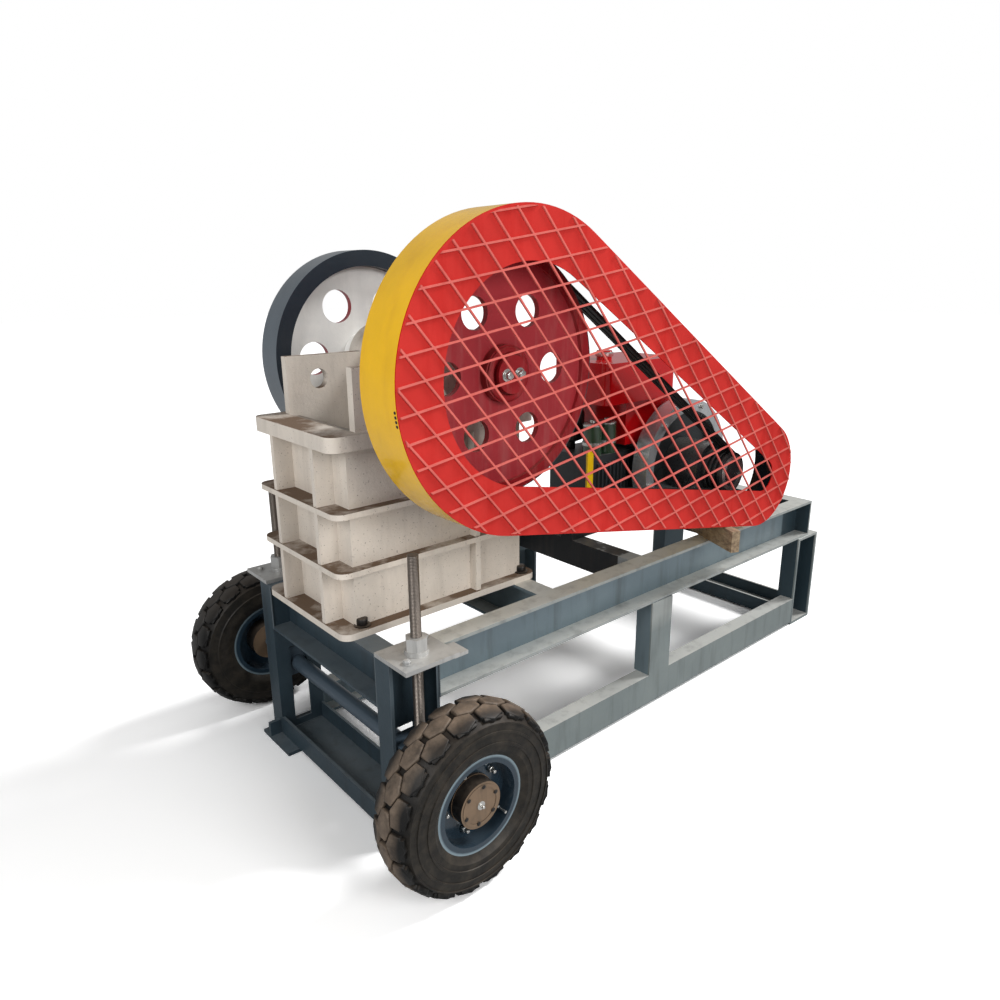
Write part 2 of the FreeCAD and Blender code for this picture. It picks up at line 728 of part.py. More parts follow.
def groove_points(outer):
    """Rim points that step down to each belt's seat, from the inner side to the outer side."""
    points = []
    for i in (-1, 0, 1):
        middle = f"pulley_width / 2 + {i} * belt_pitch"
        half = "(belt_width / 2 + groove_gap)"
        floor = f"{outer} + belt_proud - belt_depth - groove_gap"
        points += [(outer, f"{middle} - {half}"), (floor, f"{middle} - {half}"),
                   (floor, f"{middle} + {half}"), (outer, f"{middle} + {half}")]
    return points


def belt_pulley():
    web_in = "(pulley_width - pulley_web_back - pulley_web)"
    web_out = "(pulley_width - pulley_web_back)"
    rim = "wheel_radius - pulley_rim"
    wheel = turned("belt_pulley_blank", NEAR, (f"{FRONT} + shaft_x", "-pulley_y", "shaft_z"), [
        ("shaft_radius", "0"), ("wheel_hub", "0"), ("wheel_hub", web_in), (rim, web_in), (rim, "0"),
        ("wheel_radius", "0"), *groove_points("wheel_radius"), ("wheel_radius", "pulley_width"),
        (rim, "pulley_width"), (rim, web_out), ("wheel_hub", web_out),
        ("wheel_hub", "pulley_width + pulley_web_back"), ("shaft_radius", "pulley_width + pulley_web_back")])
    node(holed("belt_pulley", wheel, "pulley_hole", "-pulley_y - pulley_width", "pulley_width"))


def drive_belts():
    proud = size("belt_proud")
    circles = [(front_x() + size("shaft_x"), size("shaft_z"), size("wheel_radius") + proud),
               (front_x() + size("engine_x"), size("engine_z"), size("engine_pulley_radius") + proud)]
    belts = []
    for i in (-1, 0, 1):
        middle = -(size("pulley_y") + size("pulley_width") / 2) + i * size("belt_pitch")
        half = size("belt_width") / 2
        belts.append(solid(f"drive_belt_{i + 1}", ring_around(circles, size("belt_depth"), middle - half, middle + half)))
    node(group("drive_belts", belts))


# ---------------------------------------------------------------- engine

def engine_mounting():
    beams = [box(f"engine_beam_{word}", (f"{FRONT} + {x}", f"-{INNER}", "rail_top - beam_height"),
                 ("beam_width", f"2 * {INNER}", "beam_height"))
             for word, x in (("front", "beam_front_x"), ("rear", "beam_rear_x"))]
    node(group("engine_beams", beams))
    length = "beam_rear_x + beam_width - beam_front_x"
    bearers = [box(f"engine_bearer_{word}", (f"{FRONT} + beam_front_x", y, "rail_top"),
                   (length, "bearer_width", "bearer_height"))
               for word, y in (("near", "-bearer_y"), ("far", "bearer_far_y"))]
    node(group("engine_bearers", bearers))
    node(box("upright_strap", (f"{FRONT} + strap_x", "-(bearer_y + strap_thick)", "rail_top + bearer_height / 2"),
             ("strap_width", "strap_thick", "strap_height")))


def engine_block():
    base = "(rail_top + bearer_height)"
    crankcase = box("engine_crankcase", (f"{FRONT} + crankcase_x", "engine_near_y", base),
                    ("crankcase_length", "engine_width", "crankcase_height"))
    cylinder = box("engine_cylinder", (f"{FRONT} + cylinder_x", "engine_near_y + (engine_width - cylinder_width) / 2",
                                       f"{base} + cylinder_rise"),
                   ("crankcase_x - cylinder_x + 1", "cylinder_width", "cylinder_height"))
    bore = rod("engine_crank_bore", "Y", (f"{FRONT} + engine_x", "engine_near_y - 1", "engine_z"),
               "engine_shaft_radius + running_gap", "crank_depth + 2")
    node(cut("engine_block", join("engine_castings", [crankcase, cylinder]), bore))
    hood_base = f"({base} + crankcase_height)"
    node(box("engine_hood", (f"{FRONT} + hood_x", "engine_near_y + 20", hood_base),
             ("hood_length", "engine_width - 40", f"tank_base - {hood_base}")))


def fuel_tank():
    tank = rounded_plate("fuel_tank_shell", (f"{FRONT} + tank_x", "engine_near_y", "tank_base"),
                         ("tank_length", "engine_width", "tank_height"), "tank_round")
    filler = rod("fuel_tank_filler", "Z", (f"{FRONT} + tank_x + tank_length / 3", "engine_near_y + engine_width / 2",
                                           "tank_base + tank_height - 1"),
                 "filler_radius", "filler_height")
    node(join("fuel_tank", [tank, filler]))


def fuel_filters():
    top = "(rail_top + bearer_height + cylinder_rise + cylinder_height)"
    cups = [rod(f"fuel_filter_{i}", "Z", (f"{FRONT} + cylinder_x + filter_radius + 6 + {i} * filter_spacing",
                                          "engine_near_y + (engine_width - cylinder_width) / 2 + filter_radius", top),
                "filter_radius", "filter_height") for i in range(2)]
    node(group("fuel_filters", cups))


def engine_wheels():
    """The flywheel on the crank's end, and the clutch drum and belt pulley outside it."""
    rim = "engine_wheel_radius - engine_wheel_rim"
    inner = "(engine_wheel_y + engine_near_y + crank_depth)"
    node(turned("engine_flywheel", NEAR, (f"{FRONT} + engine_x", "engine_near_y + crank_depth", "engine_z"), [
        ("0", "0"), ("engine_shaft_radius", "0"), ("engine_shaft_radius", inner),
        ("engine_wheel_radius", inner), ("engine_wheel_radius", f"{inner} + engine_wheel_width"),
        (rim, f"{inner} + engine_wheel_width"), (rim, f"{inner} + engine_wheel_width / 2"),
        ("0", f"{inner} + engine_wheel_width / 2")]))
    start = (f"{FRONT} + engine_x", "-engine_wheel_y", "engine_z")
    shift = "(pulley_y - engine_wheel_y)"
    reach = f"({shift} + pulley_width)"
    grooves = [(radius, f"{shift} + {along}") for radius, along in groove_points("engine_pulley_radius")]
    node(turned("engine_pulley", NEAR, start, [
        ("0", "engine_wheel_width / 2"), ("engine_hub_radius", "engine_wheel_width / 2"),
        ("engine_hub_radius", f"{shift} - 12"), ("engine_pulley_radius", f"{shift} - 12"),
        *grooves, ("engine_pulley_radius", reach), ("0", reach)]))


# ---------------------------------------------------------------- guard

def guard_circles():
    return [(front_x() + size("shaft_x"), size("shaft_z"), size("guard_radius")),
            (front_x() + size("guard_tail_x"), size("guard_tail_z"), size("guard_tail_radius"))]


def guard_band():
    face = -size("guard_face_y") + size("guard_sheet")
    node(solid("guard_band", ring_around(guard_circles(), size("guard_sheet"), face,
                                         -size("guard_face_y") + size("guard_depth"))))


def guard_front():
    """The face ring with the wire mesh welded over it."""
    circles = guard_circles()
    face_y = -size("guard_face_y")
    face = ring_around(circles, size("guard_rim"), face_y, face_y + size("guard_sheet"))
    sheet_outline = around([(x, z, radius - 6) for x, z, radius in circles])
    sheet_outline.translate(FreeCAD.Vector(0, face_y - size("mesh_wire"), 0))
    window = sheet_outline.extrude(FreeCAD.Vector(0, size("mesh_wire"), 0))
    (x1, z1, r1), (x2, z2, r2) = circles
    middle = FreeCAD.Vector((x1 + x2) / 2, 0, (z1 + z2) / 2)
    reach = math.hypot(x2 - x1, z2 - z1) / 2 + r1
    wires = []
    rise, fall = math.radians(size("mesh_rise_angle")), math.radians(size("mesh_fall_angle"))
    spacing = size("mesh_side") * math.sin(rise - fall)
    half = size("mesh_wire") / 2
    for angle in (rise, fall):
        run = FreeCAD.Vector(math.cos(angle), 0, math.sin(angle))
        across = FreeCAD.Vector(-math.sin(angle), 0, math.cos(angle))
        count = int(reach / spacing)
        for i in range(-count, count + 1):
            centre = middle + across * (i * spacing)
            corners = [centre - run * reach - across * half, centre + run * reach - across * half,
                       centre + run * reach + across * half, centre - run * reach + across * half]
            strip = Part.Face(Part.makePolygon(corners + corners[:1]))
            strip.translate(FreeCAD.Vector(0, face_y - size("mesh_wire"), 0))
            wires.append(strip.extrude(FreeCAD.Vector(0, size("mesh_wire"), 0)))
    mesh = wires[0].multiFuse(wires[1:]).common(window)
    node(solid("guard_front", face.fuse(mesh).removeSplitter()))


def guard_bracket():
    """A flat bar from the casting's near wall, whose top lies along the band's straight underside."""
    big, _ = guard_circles()
    low = tangents(guard_circles())[2]
    down = FreeCAD.Vector(math.cos(low), 0, math.sin(low)) * size("bracket_thick")
    along = FreeCAD.Vector(-math.sin(low), 0, math.cos(low)) * size("bracket_width")
    wall_y = size("crusher_y") - size("mouth_half") - size("cheek_thick")
    outer_y = size("guard_depth") - size("guard_face_y") - size("bracket_lap")
    start = rim_point(big, low) + FreeCAD.Vector(0, outer_y, 0)
    section = Part.Face(Part.makePolygon([start, start + along, start + along + down, start + down, start]))
    node(solid("guard_bracket", section.extrude(FreeCAD.Vector(0, wall_y - outer_y, 0))))


def timber():
    """A skewed plank on the near rail, its top notched by the guard's low edge."""
    plank = Part.makeBox(size("timber_width"), size("timber_length"), size("timber_height"))
    plank.rotate(FreeCAD.Vector(), FreeCAD.Vector(0, 0, 1), -size("timber_skew"))
    plank.translate(FreeCAD.Vector(front_x() + size("timber_x"), -size("timber_reach"), size("rail_top")))
    notch = around([(x, z, radius + size("seat_gap")) for x, z, radius in guard_circles()])
    notch.translate(FreeCAD.Vector(0, -size("guard_face_y") - size("mesh_wire") - size("seat_gap"), 0))
    notch = notch.extrude(FreeCAD.Vector(0, size("timber_length"), 0))
    node(solid("timber_prop", plank.cut(notch)))


def export():
    doc.recompute()
    for thing in doc.Objects:
        if "Invalid" in thing.State or "Error" in thing.State:
            raise RuntimeError(f"{thing.Name} has state {thing.State}")
    os.makedirs("parts", exist_ok=True)
    for thing in nodes:
        if thing.Shape.isNull() or not thing.Shape.isValid() or not thing.Shape.Solids:
            raise RuntimeError(f"{thing.Label} has no valid solid")
        thing.Shape.exportStep(f"parts/{thing.Label}.step")
        print(f"{thing.Label:20s} {len(thing.Shape.Solids)} solids {thing.Shape.Volume / 1e6:9.3f} litres")


for build in (upper_rails, upper_cross_members, front_posts, rear_posts, mid_posts, lower_frame, foot_pads,
              jack_plates, jack_nuts, axle, wheels, crusher_frame, jaws, toggle, bearings, shaft, flywheel,
              belt_pulley, drive_belts, engine_mounting, engine_block, fuel_tank, fuel_filters, engine_wheels,
              guard_band, guard_front, guard_bracket, timber):
    build()
export()
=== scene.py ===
"""A jaw crusher on a wheeled steel frame: finishes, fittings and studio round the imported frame."""
import math
import bpy
from mathutils import Euler, Matrix, Vector


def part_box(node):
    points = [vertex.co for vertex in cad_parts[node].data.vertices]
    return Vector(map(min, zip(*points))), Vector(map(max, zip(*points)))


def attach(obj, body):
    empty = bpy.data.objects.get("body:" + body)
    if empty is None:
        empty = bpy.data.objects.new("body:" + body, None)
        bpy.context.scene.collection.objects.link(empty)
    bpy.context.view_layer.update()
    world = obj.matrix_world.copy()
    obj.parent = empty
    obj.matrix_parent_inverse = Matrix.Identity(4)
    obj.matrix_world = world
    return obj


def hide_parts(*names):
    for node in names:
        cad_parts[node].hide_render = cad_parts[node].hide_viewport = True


bl_info = {
    "name": "Jaw crusher",
    "version": (1, 0, 0),
    "blender": (4, 5, 0),
    "location": "View3D > Sidebar > Crusher",
    "description": "Builds the finishes and small fittings of a belt-driven jaw crusher",
    "category": "Object",
}

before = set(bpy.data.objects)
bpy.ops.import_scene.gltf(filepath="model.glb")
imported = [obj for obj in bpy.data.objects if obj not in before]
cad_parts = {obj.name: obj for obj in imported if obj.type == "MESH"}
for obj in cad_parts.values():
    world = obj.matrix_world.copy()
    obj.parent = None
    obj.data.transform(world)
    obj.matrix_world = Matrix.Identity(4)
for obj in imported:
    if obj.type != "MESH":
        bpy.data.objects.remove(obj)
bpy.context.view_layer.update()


def middle(node):
    low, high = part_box(node)
    return Vector([(a + b) / 2 for a, b in zip(low, high)])


CAST_LOW, CAST_HIGH = (Vector(corner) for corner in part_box("crusher_frame"))
TYRE_LOW, TYRE_HIGH = (Vector(corner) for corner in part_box("tyre_near"))
GUARD_LOW, GUARD_HIGH = (Vector(corner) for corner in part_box("guard_front"))
SHAFT = middle("flywheel")
ENGINE_SHAFT = middle("engine_pulley")
WHEEL = {"near": middle("tyre_near"), "far": middle("tyre_far")}
TURN_Y = Euler((math.radians(-90), 0, 0)).to_matrix().to_4x4()


# ------------------------------------------------------------------ shader building

def add(tree, kind, inputs=None, **settings):
    """A shader node with its settings and inputs; an input is a value or another node's socket."""
    node = tree.nodes.new("ShaderNode" + kind)
    for name, value in settings.items():
        setattr(node, name, value)
    for name, value in (inputs or {}).items():
        if isinstance(value, bpy.types.NodeSocket):
            tree.links.new(value, node.inputs[name])
        else:
            node.inputs[name].default_value = value
    return node


def mix(tree, factor, first, second, blend="MIX"):
    node = add(tree, "Mix", {0: factor, 6: first, 7: second}, data_type="RGBA", blend_type=blend)
    return node.outputs[2]


def maths(tree, operation, *values):
    return add(tree, "Math", dict(enumerate(values)), operation=operation).outputs[0]


def ramp(tree, value, low, high, to_low=0.0, to_high=1.0):
    return add(tree, "MapRange", {0: value, 1: low, 2: high, 3: to_low, 4: to_high}).outputs[0]


def noise(tree, vector, scale, detail=4.0, rough=0.6):
    inputs = {"Vector": vector, "Scale": scale, "Detail": detail, "Roughness": rough}
    return add(tree, "TexNoise", inputs).outputs[0]


def object_place(tree):
    return add(tree, "TexCoord").outputs["Object"]


def group(name, inputs, outputs):
    """An empty node group with named sockets, and its two end nodes."""
    tree = bpy.data.node_groups.new(name, "ShaderNodeTree")
    for label, kind, default in inputs:
        socket = tree.interface.new_socket(label, in_out="INPUT", socket_type="NodeSocket" + kind)
        socket.default_value = default
    for label, kind in outputs:
        tree.interface.new_socket(label, in_out="OUTPUT", socket_type="NodeSocket" + kind)
    start = tree.nodes.new("NodeGroupInput")
    end = tree.nodes.new("NodeGroupOutput")
    return tree, start.outputs, end.inputs


def weather_group():
    """Mottled paint with vertical stains, specks, and dust that settles on level faces."""
    tree, given, out = group("weather", [
        ("Base", "Color", (0.5, 0.5, 0.5, 1)), ("Stain", "Color", (0.2, 0.18, 0.15, 1)),
        ("Dust", "Color", (0.4, 0.33, 0.25, 1)), ("Stain amount", "Float", 0.3),
        ("Dust amount", "Float", 0.5), ("Speck amount", "Float", 0.2), ("Scale", "Float", 5.0)],
        [("Color", "Color"), ("Mask", "Float"), ("Height", "Float")])
    place = object_place(tree)
    broad = noise(tree, place, given["Scale"], 6.0, 0.65)
    fine = noise(tree, place, maths(tree, "MULTIPLY", given["Scale"], 16.0), 5.0, 0.7)
    speck = noise(tree, place, maths(tree, "MULTIPLY", given["Scale"], 40.0), 2.0, 0.5)
    drawn = add(tree, "Mapping", {"Vector": place, "Scale": (1.0, 1.0, 0.12)}).outputs[0]
    streak = noise(tree, drawn, maths(tree, "MULTIPLY", given["Scale"], 5.0), 5.0, 0.6)
    level = add(tree, "SeparateXYZ", {0: add(tree, "NewGeometry").outputs["Normal"]}).outputs[2]
    settled = maths(tree, "MULTIPLY", ramp(tree, level, 0.35, 0.9), ramp(tree, broad, 0.30, 0.52))
    dust = maths(tree, "MULTIPLY", settled, given["Dust amount"])
    stained = maths(tree, "MULTIPLY", ramp(tree, streak, 0.5, 0.75), given["Stain amount"])
    specked = maths(tree, "MULTIPLY", ramp(tree, speck, 0.66, 0.74), given["Speck amount"])
    tone = mix(tree, ramp(tree, broad, 0.3, 0.7), (0.86, 0.87, 0.88, 1), (1.06, 1.05, 1.04, 1))
    colour = mix(tree, 1.0, given["Base"], tone, "MULTIPLY")
    colour = mix(tree, maths(tree, "MAXIMUM", stained, specked), colour, given["Stain"])
    colour = mix(tree, dust, colour, given["Dust"])
    tree.links.new(colour, out["Color"])
    tree.links.new(maths(tree, "MAXIMUM", maths(tree, "MULTIPLY", fine, 0.6), dust), out["Mask"])
    tree.links.new(maths(tree, "ADD", fine, maths(tree, "MULTIPLY", broad, 0.7)), out["Height"])
    return tree


def ring_group():
    """How far a point lies from a level axis along Y, and how far along that axis it is."""
    tree, given, out = group("ring_place", [("Centre", "Vector", (0, 0, 0))],
                             [("Radius", "Float"), ("Along", "Float")])
    ends = {0: object_place(tree), 1: given["Centre"]}
    shifted = add(tree, "VectorMath", ends, operation="SUBTRACT").outputs[0]
    parts = add(tree, "SeparateXYZ", {0: shifted}).outputs
    flat = add(tree, "CombineXYZ", {0: parts[0], 2: parts[2]}).outputs[0]
    tree.links.new(add(tree, "VectorMath", {0: flat}, operation="LENGTH").outputs["Value"], out["Radius"])
    tree.links.new(parts[1], out["Along"])
    return tree


def shared(name, build):
    return bpy.data.node_groups.get(name) or build()


def use_group(tree, name, build, inputs):
    node = tree.nodes.new("ShaderNodeGroup")
    node.node_tree = shared(name, build)
    for label, value in inputs.items():
        if isinstance(value, bpy.types.NodeSocket):
            tree.links.new(value, node.inputs[label])
        else:
            node.inputs[label].default_value = value
    return node.outputs


def new_material(name):
    material = bpy.data.materials.new(name)
    material.use_nodes = True
    tree = material.node_tree
    return material, tree, tree.nodes["Principled BSDF"]


def colour(*channels):
    return (*channels, 1.0)


def weathered(name, base, stain, dust, amounts, rough, metal=0.0, coat=0.0, relief=0.0006, scale=5.0,
              recolour=None, shine=0.5):
    """A painted or bare surface; amounts are for stain, dust and specks, rough is its least and most."""
    material, tree, shader = new_material(name)
    ground = recolour(tree) if recolour else base
    worn = use_group(tree, "weather", weather_group, {
        "Base": ground, "Stain": stain, "Dust": dust, "Stain amount": amounts[0],
        "Dust amount": amounts[1], "Speck amount": amounts[2], "Scale": scale})
    tree.links.new(worn["Color"], shader.inputs["Base Color"])
    tree.links.new(ramp(tree, worn["Mask"], 0.2, 0.9, rough[0], rough[1]), shader.inputs["Roughness"])
    bump = add(tree, "Bump", {"Height": worn["Height"], "Strength": 0.6, "Distance": relief})
    tree.links.new(bump.outputs[0], shader.inputs["Normal"])
    shader.inputs["Specular IOR Level"].default_value = shine
    shader.inputs["Metallic"].default_value = metal
    shader.inputs["Coat Weight"].default_value = coat
    shader.inputs["Coat Roughness"].default_value = 0.12
    return material


def between(tree, value, low, high, soft=0.0015):
    """A mask that is 1 where the value lies between two limits."""
    return maths(tree, "MULTIPLY", ramp(tree, value, low - soft, low), ramp(tree, value, high + soft, high))


def frame_colours(tree):
    """Dark blue-grey channels with painted light and shade: level faces and outer flange edges are painted
    paler as painted light from above; the front end is darker, partly dark paint and partly painted shade; the
    rear end is darker as painted shade; the lower flanges are darker.
    """
    place = add(tree, "SeparateXYZ", {0: object_place(tree)}).outputs
    normal = add(tree, "SeparateXYZ", {0: add(tree, "NewGeometry").outputs["Normal"]}).outputs
    side = maths(tree, "ABSOLUTE", place[1])
    # outer flange edges: painted paler as painted light
    edge = ramp(tree, side, 0.3895, 0.3915)
    # level faces: painted paler as painted light from above
    top = ramp(tree, normal[2], 0.4, 0.8)
    # front end: darker, partly dark paint and partly painted shade
    front = ramp(tree, place[0], -0.90, -0.89)
    # rear end: darker as painted shade
    rear = ramp(tree, place[0], 1.03, 1.04)
    # lower flanges: darker towards the bottom
    low = ramp(tree, place[2], 0.36, 0.30)
    web = mix(tree, front, colour(0.045, 0.072, 0.092), colour(0.17, 0.225, 0.255))
    web = mix(tree, rear, web, colour(0.035, 0.060, 0.075))
    flange = mix(tree, low, colour(0.36, 0.385, 0.375), colour(0.21, 0.245, 0.245))
    pale = mix(tree, front, colour(0.12, 0.155, 0.18), mix(tree, top, flange, colour(0.62, 0.63, 0.60)))
    return mix(tree, maths(tree, "MAXIMUM", edge, top), web, pale)


def band_colours(tree):
    """Yellow outside and near-black painted shade on the inside of the guard, told apart by which way the sheet
    faces.
    """
    centre = (GUARD_LOW + GUARD_HIGH) / 2
    centre = Vector((centre.x, 0, centre.z + 0.1))
    outward = add(tree, "VectorMath", {0: object_place(tree), 1: centre}, operation="SUBTRACT").outputs[0]
    flat = add(tree, "VectorMath", {0: outward, 1: (1, 0, 1)}, operation="MULTIPLY").outputs[0]
    normal = add(tree, "NewGeometry").outputs["Normal"]
    facing_out = add(tree, "VectorMath", {0: flat, 1: normal}, operation="DOT_PRODUCT").outputs["Value"]
    # inside faces of the band: near-black painted shade
    inside = ramp(tree, facing_out, -0.01, -0.02)
    return mix(tree, inside, colour(0.88, 0.50, 0.004), colour(0.016, 0.019, 0.026))


def guard_colours(tree):
    """Bright red sheet with paler wires that lie outside it."""
    side = add(tree, "SeparateXYZ", {0: object_place(tree)}).outputs[1]
    outside = ramp(tree, side, -0.4779, -0.4783)
    return mix(tree, outside, colour(0.48, 0.0005, 0.0006), colour(0.60, 0.135, 0.115))


def flywheel_colours(tree):
    """White web, dark blue rim face, grey-blue tread and red insides of the holes."""
    ring = use_group(tree, "ring_place", ring_group, {"Centre": SHAFT})
    rim = ramp(tree, ring["Radius"], 0.286, 0.288)
    tread = ramp(tree, ring["Radius"], 0.3370, 0.3378)
    body = mix(tree, rim, colour(0.93, 0.92, 0.89), colour(0.012, 0.020, 0.030))
    body = mix(tree, tread, body, colour(0.10, 0.125, 0.15))
    normal = add(tree, "SeparateXYZ", {0: add(tree, "NewGeometry").outputs["Normal"]}).outputs
    across = ramp(tree, maths(tree, "ABSOLUTE", normal[1]), 0.5, 0.3)
    hole = maths(tree, "MULTIPLY", across, between(tree, ring["Radius"], 0.130, 0.243))
    return mix(tree, hole, body, colour(0.35, 0.03, 0.04))


def pulley_colours(tree):
    """Red web, deeper red hub and rim, and a near-black grooved tread."""
    ring = use_group(tree, "ring_place", ring_group, {"Centre": middle("belt_pulley")})
    plate = between(tree, ring["Radius"], 0.08, 0.303)
    web = mix(tree, plate, colour(0.27, 0.010, 0.014), colour(0.37, 0.030, 0.038))
    return mix(tree, ramp(tree, ring["Radius"], 0.333, 0.337), web, colour(0.05, 0.05, 0.055))


def engine_wheel_colours(tree):
    """Silver rim round a dark dished middle."""
    ring = use_group(tree, "ring_place", ring_group, {"Centre": middle("engine_flywheel")})
    rim = ramp(tree, ring["Radius"], 0.210, 0.214)
    return mix(tree, rim, colour(0.06, 0.065, 0.07), colour(0.62, 0.64, 0.66))


def rim_colours(tree):
    """Dark navy well, lightened part-way as a painted reflection, with a paler lip."""
    ring = use_group(tree, "ring_place", ring_group, {"Centre": WHEEL["near"]})
    lip = ramp(tree, ring["Radius"], 0.126, 0.131)
    # the well's navy is lifted part-way as a painted reflection
    return mix(tree, lip, colour(0.022, 0.042, 0.062), colour(0.20, 0.27, 0.31))


def hub_colours(tree):
    """Bronze end face on a black drum."""
    normal = add(tree, "SeparateXYZ", {0: add(tree, "NewGeometry").outputs["Normal"]}).outputs
    across = ramp(tree, maths(tree, "ABSOLUTE", normal[1]), 0.4, 0.6)
    return mix(tree, across, colour(0.022, 0.018, 0.015), colour(0.20, 0.135, 0.085))


def tyre_colours(tree):
    """Dusty brown lug tops, darker on the far wheel as painted shade; near-black grooves, dark rubber with
    painted shade; and a dark sidewall.
    """
    ring = use_group(tree, "ring_place", ring_group, {"Centre": WHEEL["near"]})
    outer = (TYRE_HIGH.z - TYRE_LOW.z) / 2
    top = ramp(tree, ring["Radius"], outer - 0.012, outer - 0.004)
    wear = noise(tree, object_place(tree), 22.0, 5.0, 0.7)
    lug = mix(tree, ramp(tree, wear, 0.35, 0.7), colour(0.060, 0.046, 0.035), colour(0.20, 0.150, 0.110))
    # far wheel: lug tops darkened as painted shade
    lug = mix(tree, ramp(tree, ring["Along"], 0.2, 0.3), lug, colour(0.028, 0.027, 0.026))
    wall = mix(tree, ramp(tree, wear, 0.4, 0.7), colour(0.010, 0.009, 0.0075), colour(0.034, 0.028, 0.021))
    # between and beside the lugs: near-black painted shade in the grooves
    low = mix(tree, ramp(tree, ring["Radius"], 0.222, 0.236), wall, colour(0.004, 0.004, 0.004))
    return mix(tree, top, low, lug)


def beam_colours(tree):
    """Black beams with pale ends and worn patches on their level faces."""
    place = add(tree, "SeparateXYZ", {0: object_place(tree)}).outputs
    normal = add(tree, "SeparateXYZ", {0: add(tree, "NewGeometry").outputs["Normal"]}).outputs
    patches = ramp(tree, noise(tree, object_place(tree), 7.0), 0.52, 0.56)
    worn = maths(tree, "MULTIPLY", patches, ramp(tree, normal[2], 0.3, 0.8))
    ends = ramp(tree, maths(tree, "ABSOLUTE", place[1]), 0.27, 0.272)
    pale = maths(tree, "MAXIMUM", worn, ends)
    return mix(tree, pale, colour(0.012, 0.013, 0.015), colour(0.30, 0.32, 0.33))


DUST = colour(0.30, 0.23, 0.17)
GREY_DUST = colour(0.32, 0.30, 0.27)
DARK = colour(0.03, 0.028, 0.026)


def threaded(name):
    """Bright steel rod with a fine cut thread and greasy roots."""
    material, tree, shader = new_material(name)
    place = object_place(tree)
    turns = add(tree, "TexWave", {"Vector": place, "Scale": 80.0, "Distortion": 0.3, "Detail": 1.0},
                wave_type="BANDS", bands_direction="Z", wave_profile="TRI").outputs["Fac"]
    worn = use_group(tree, "weather", weather_group, {
        "Base": colour(0.20, 0.165, 0.14), "Stain": colour(0.06, 0.04, 0.03), "Dust": GREY_DUST,
        "Stain amount": 0.5, "Dust amount": 0.3, "Speck amount": 0.2, "Scale": 12.0})
    shade = mix(tree, turns, worn["Color"], colour(0.36, 0.33, 0.30))
    tree.links.new(mix(tree, 0.45, worn["Color"], shade), shader.inputs["Base Color"])
    tree.links.new(ramp(tree, worn["Mask"], 0.0, 1.0, 0.28, 0.55), shader.inputs["Roughness"])
    bump = add(tree, "Bump", {"Height": turns, "Strength": 0.9, "Distance": 0.0016})
    tree.links.new(bump.outputs[0], shader.inputs["Normal"])
    shader.inputs["Metallic"].default_value = 0.85
    return material


def sawn_timber(name):
    """Grey-brown sawn wood with grain along its length and darker end cracks."""
    material, tree, shader = new_material(name)
    lengthwise = add(tree, "Mapping", {"Vector": object_place(tree), "Rotation": (0, 0, math.radians(23.5)),
                                       "Scale": (26.0, 1.6, 26.0)}).outputs[0]
    grain = noise(tree, lengthwise, 3.0, 8.0, 0.7)
    knots = noise(tree, object_place(tree), 14.0, 4.0)
    shade = mix(tree, ramp(tree, grain, 0.35, 0.68), colour(0.13, 0.085, 0.05), colour(0.40, 0.30, 0.19))
    shade = mix(tree, ramp(tree, knots, 0.6, 0.75, 0.0, 0.6), shade, colour(0.20, 0.18, 0.16))
    tree.links.new(shade, shader.inputs["Base Color"])
    tree.links.new(ramp(tree, grain, 0.3, 0.7, 0.75, 0.95), shader.inputs["Roughness"])
    bump = add(tree, "Bump", {"Height": grain, "Strength": 0.8, "Distance": 0.0015})
    tree.links.new(bump.outputs[0], shader.inputs["Normal"])
    return material


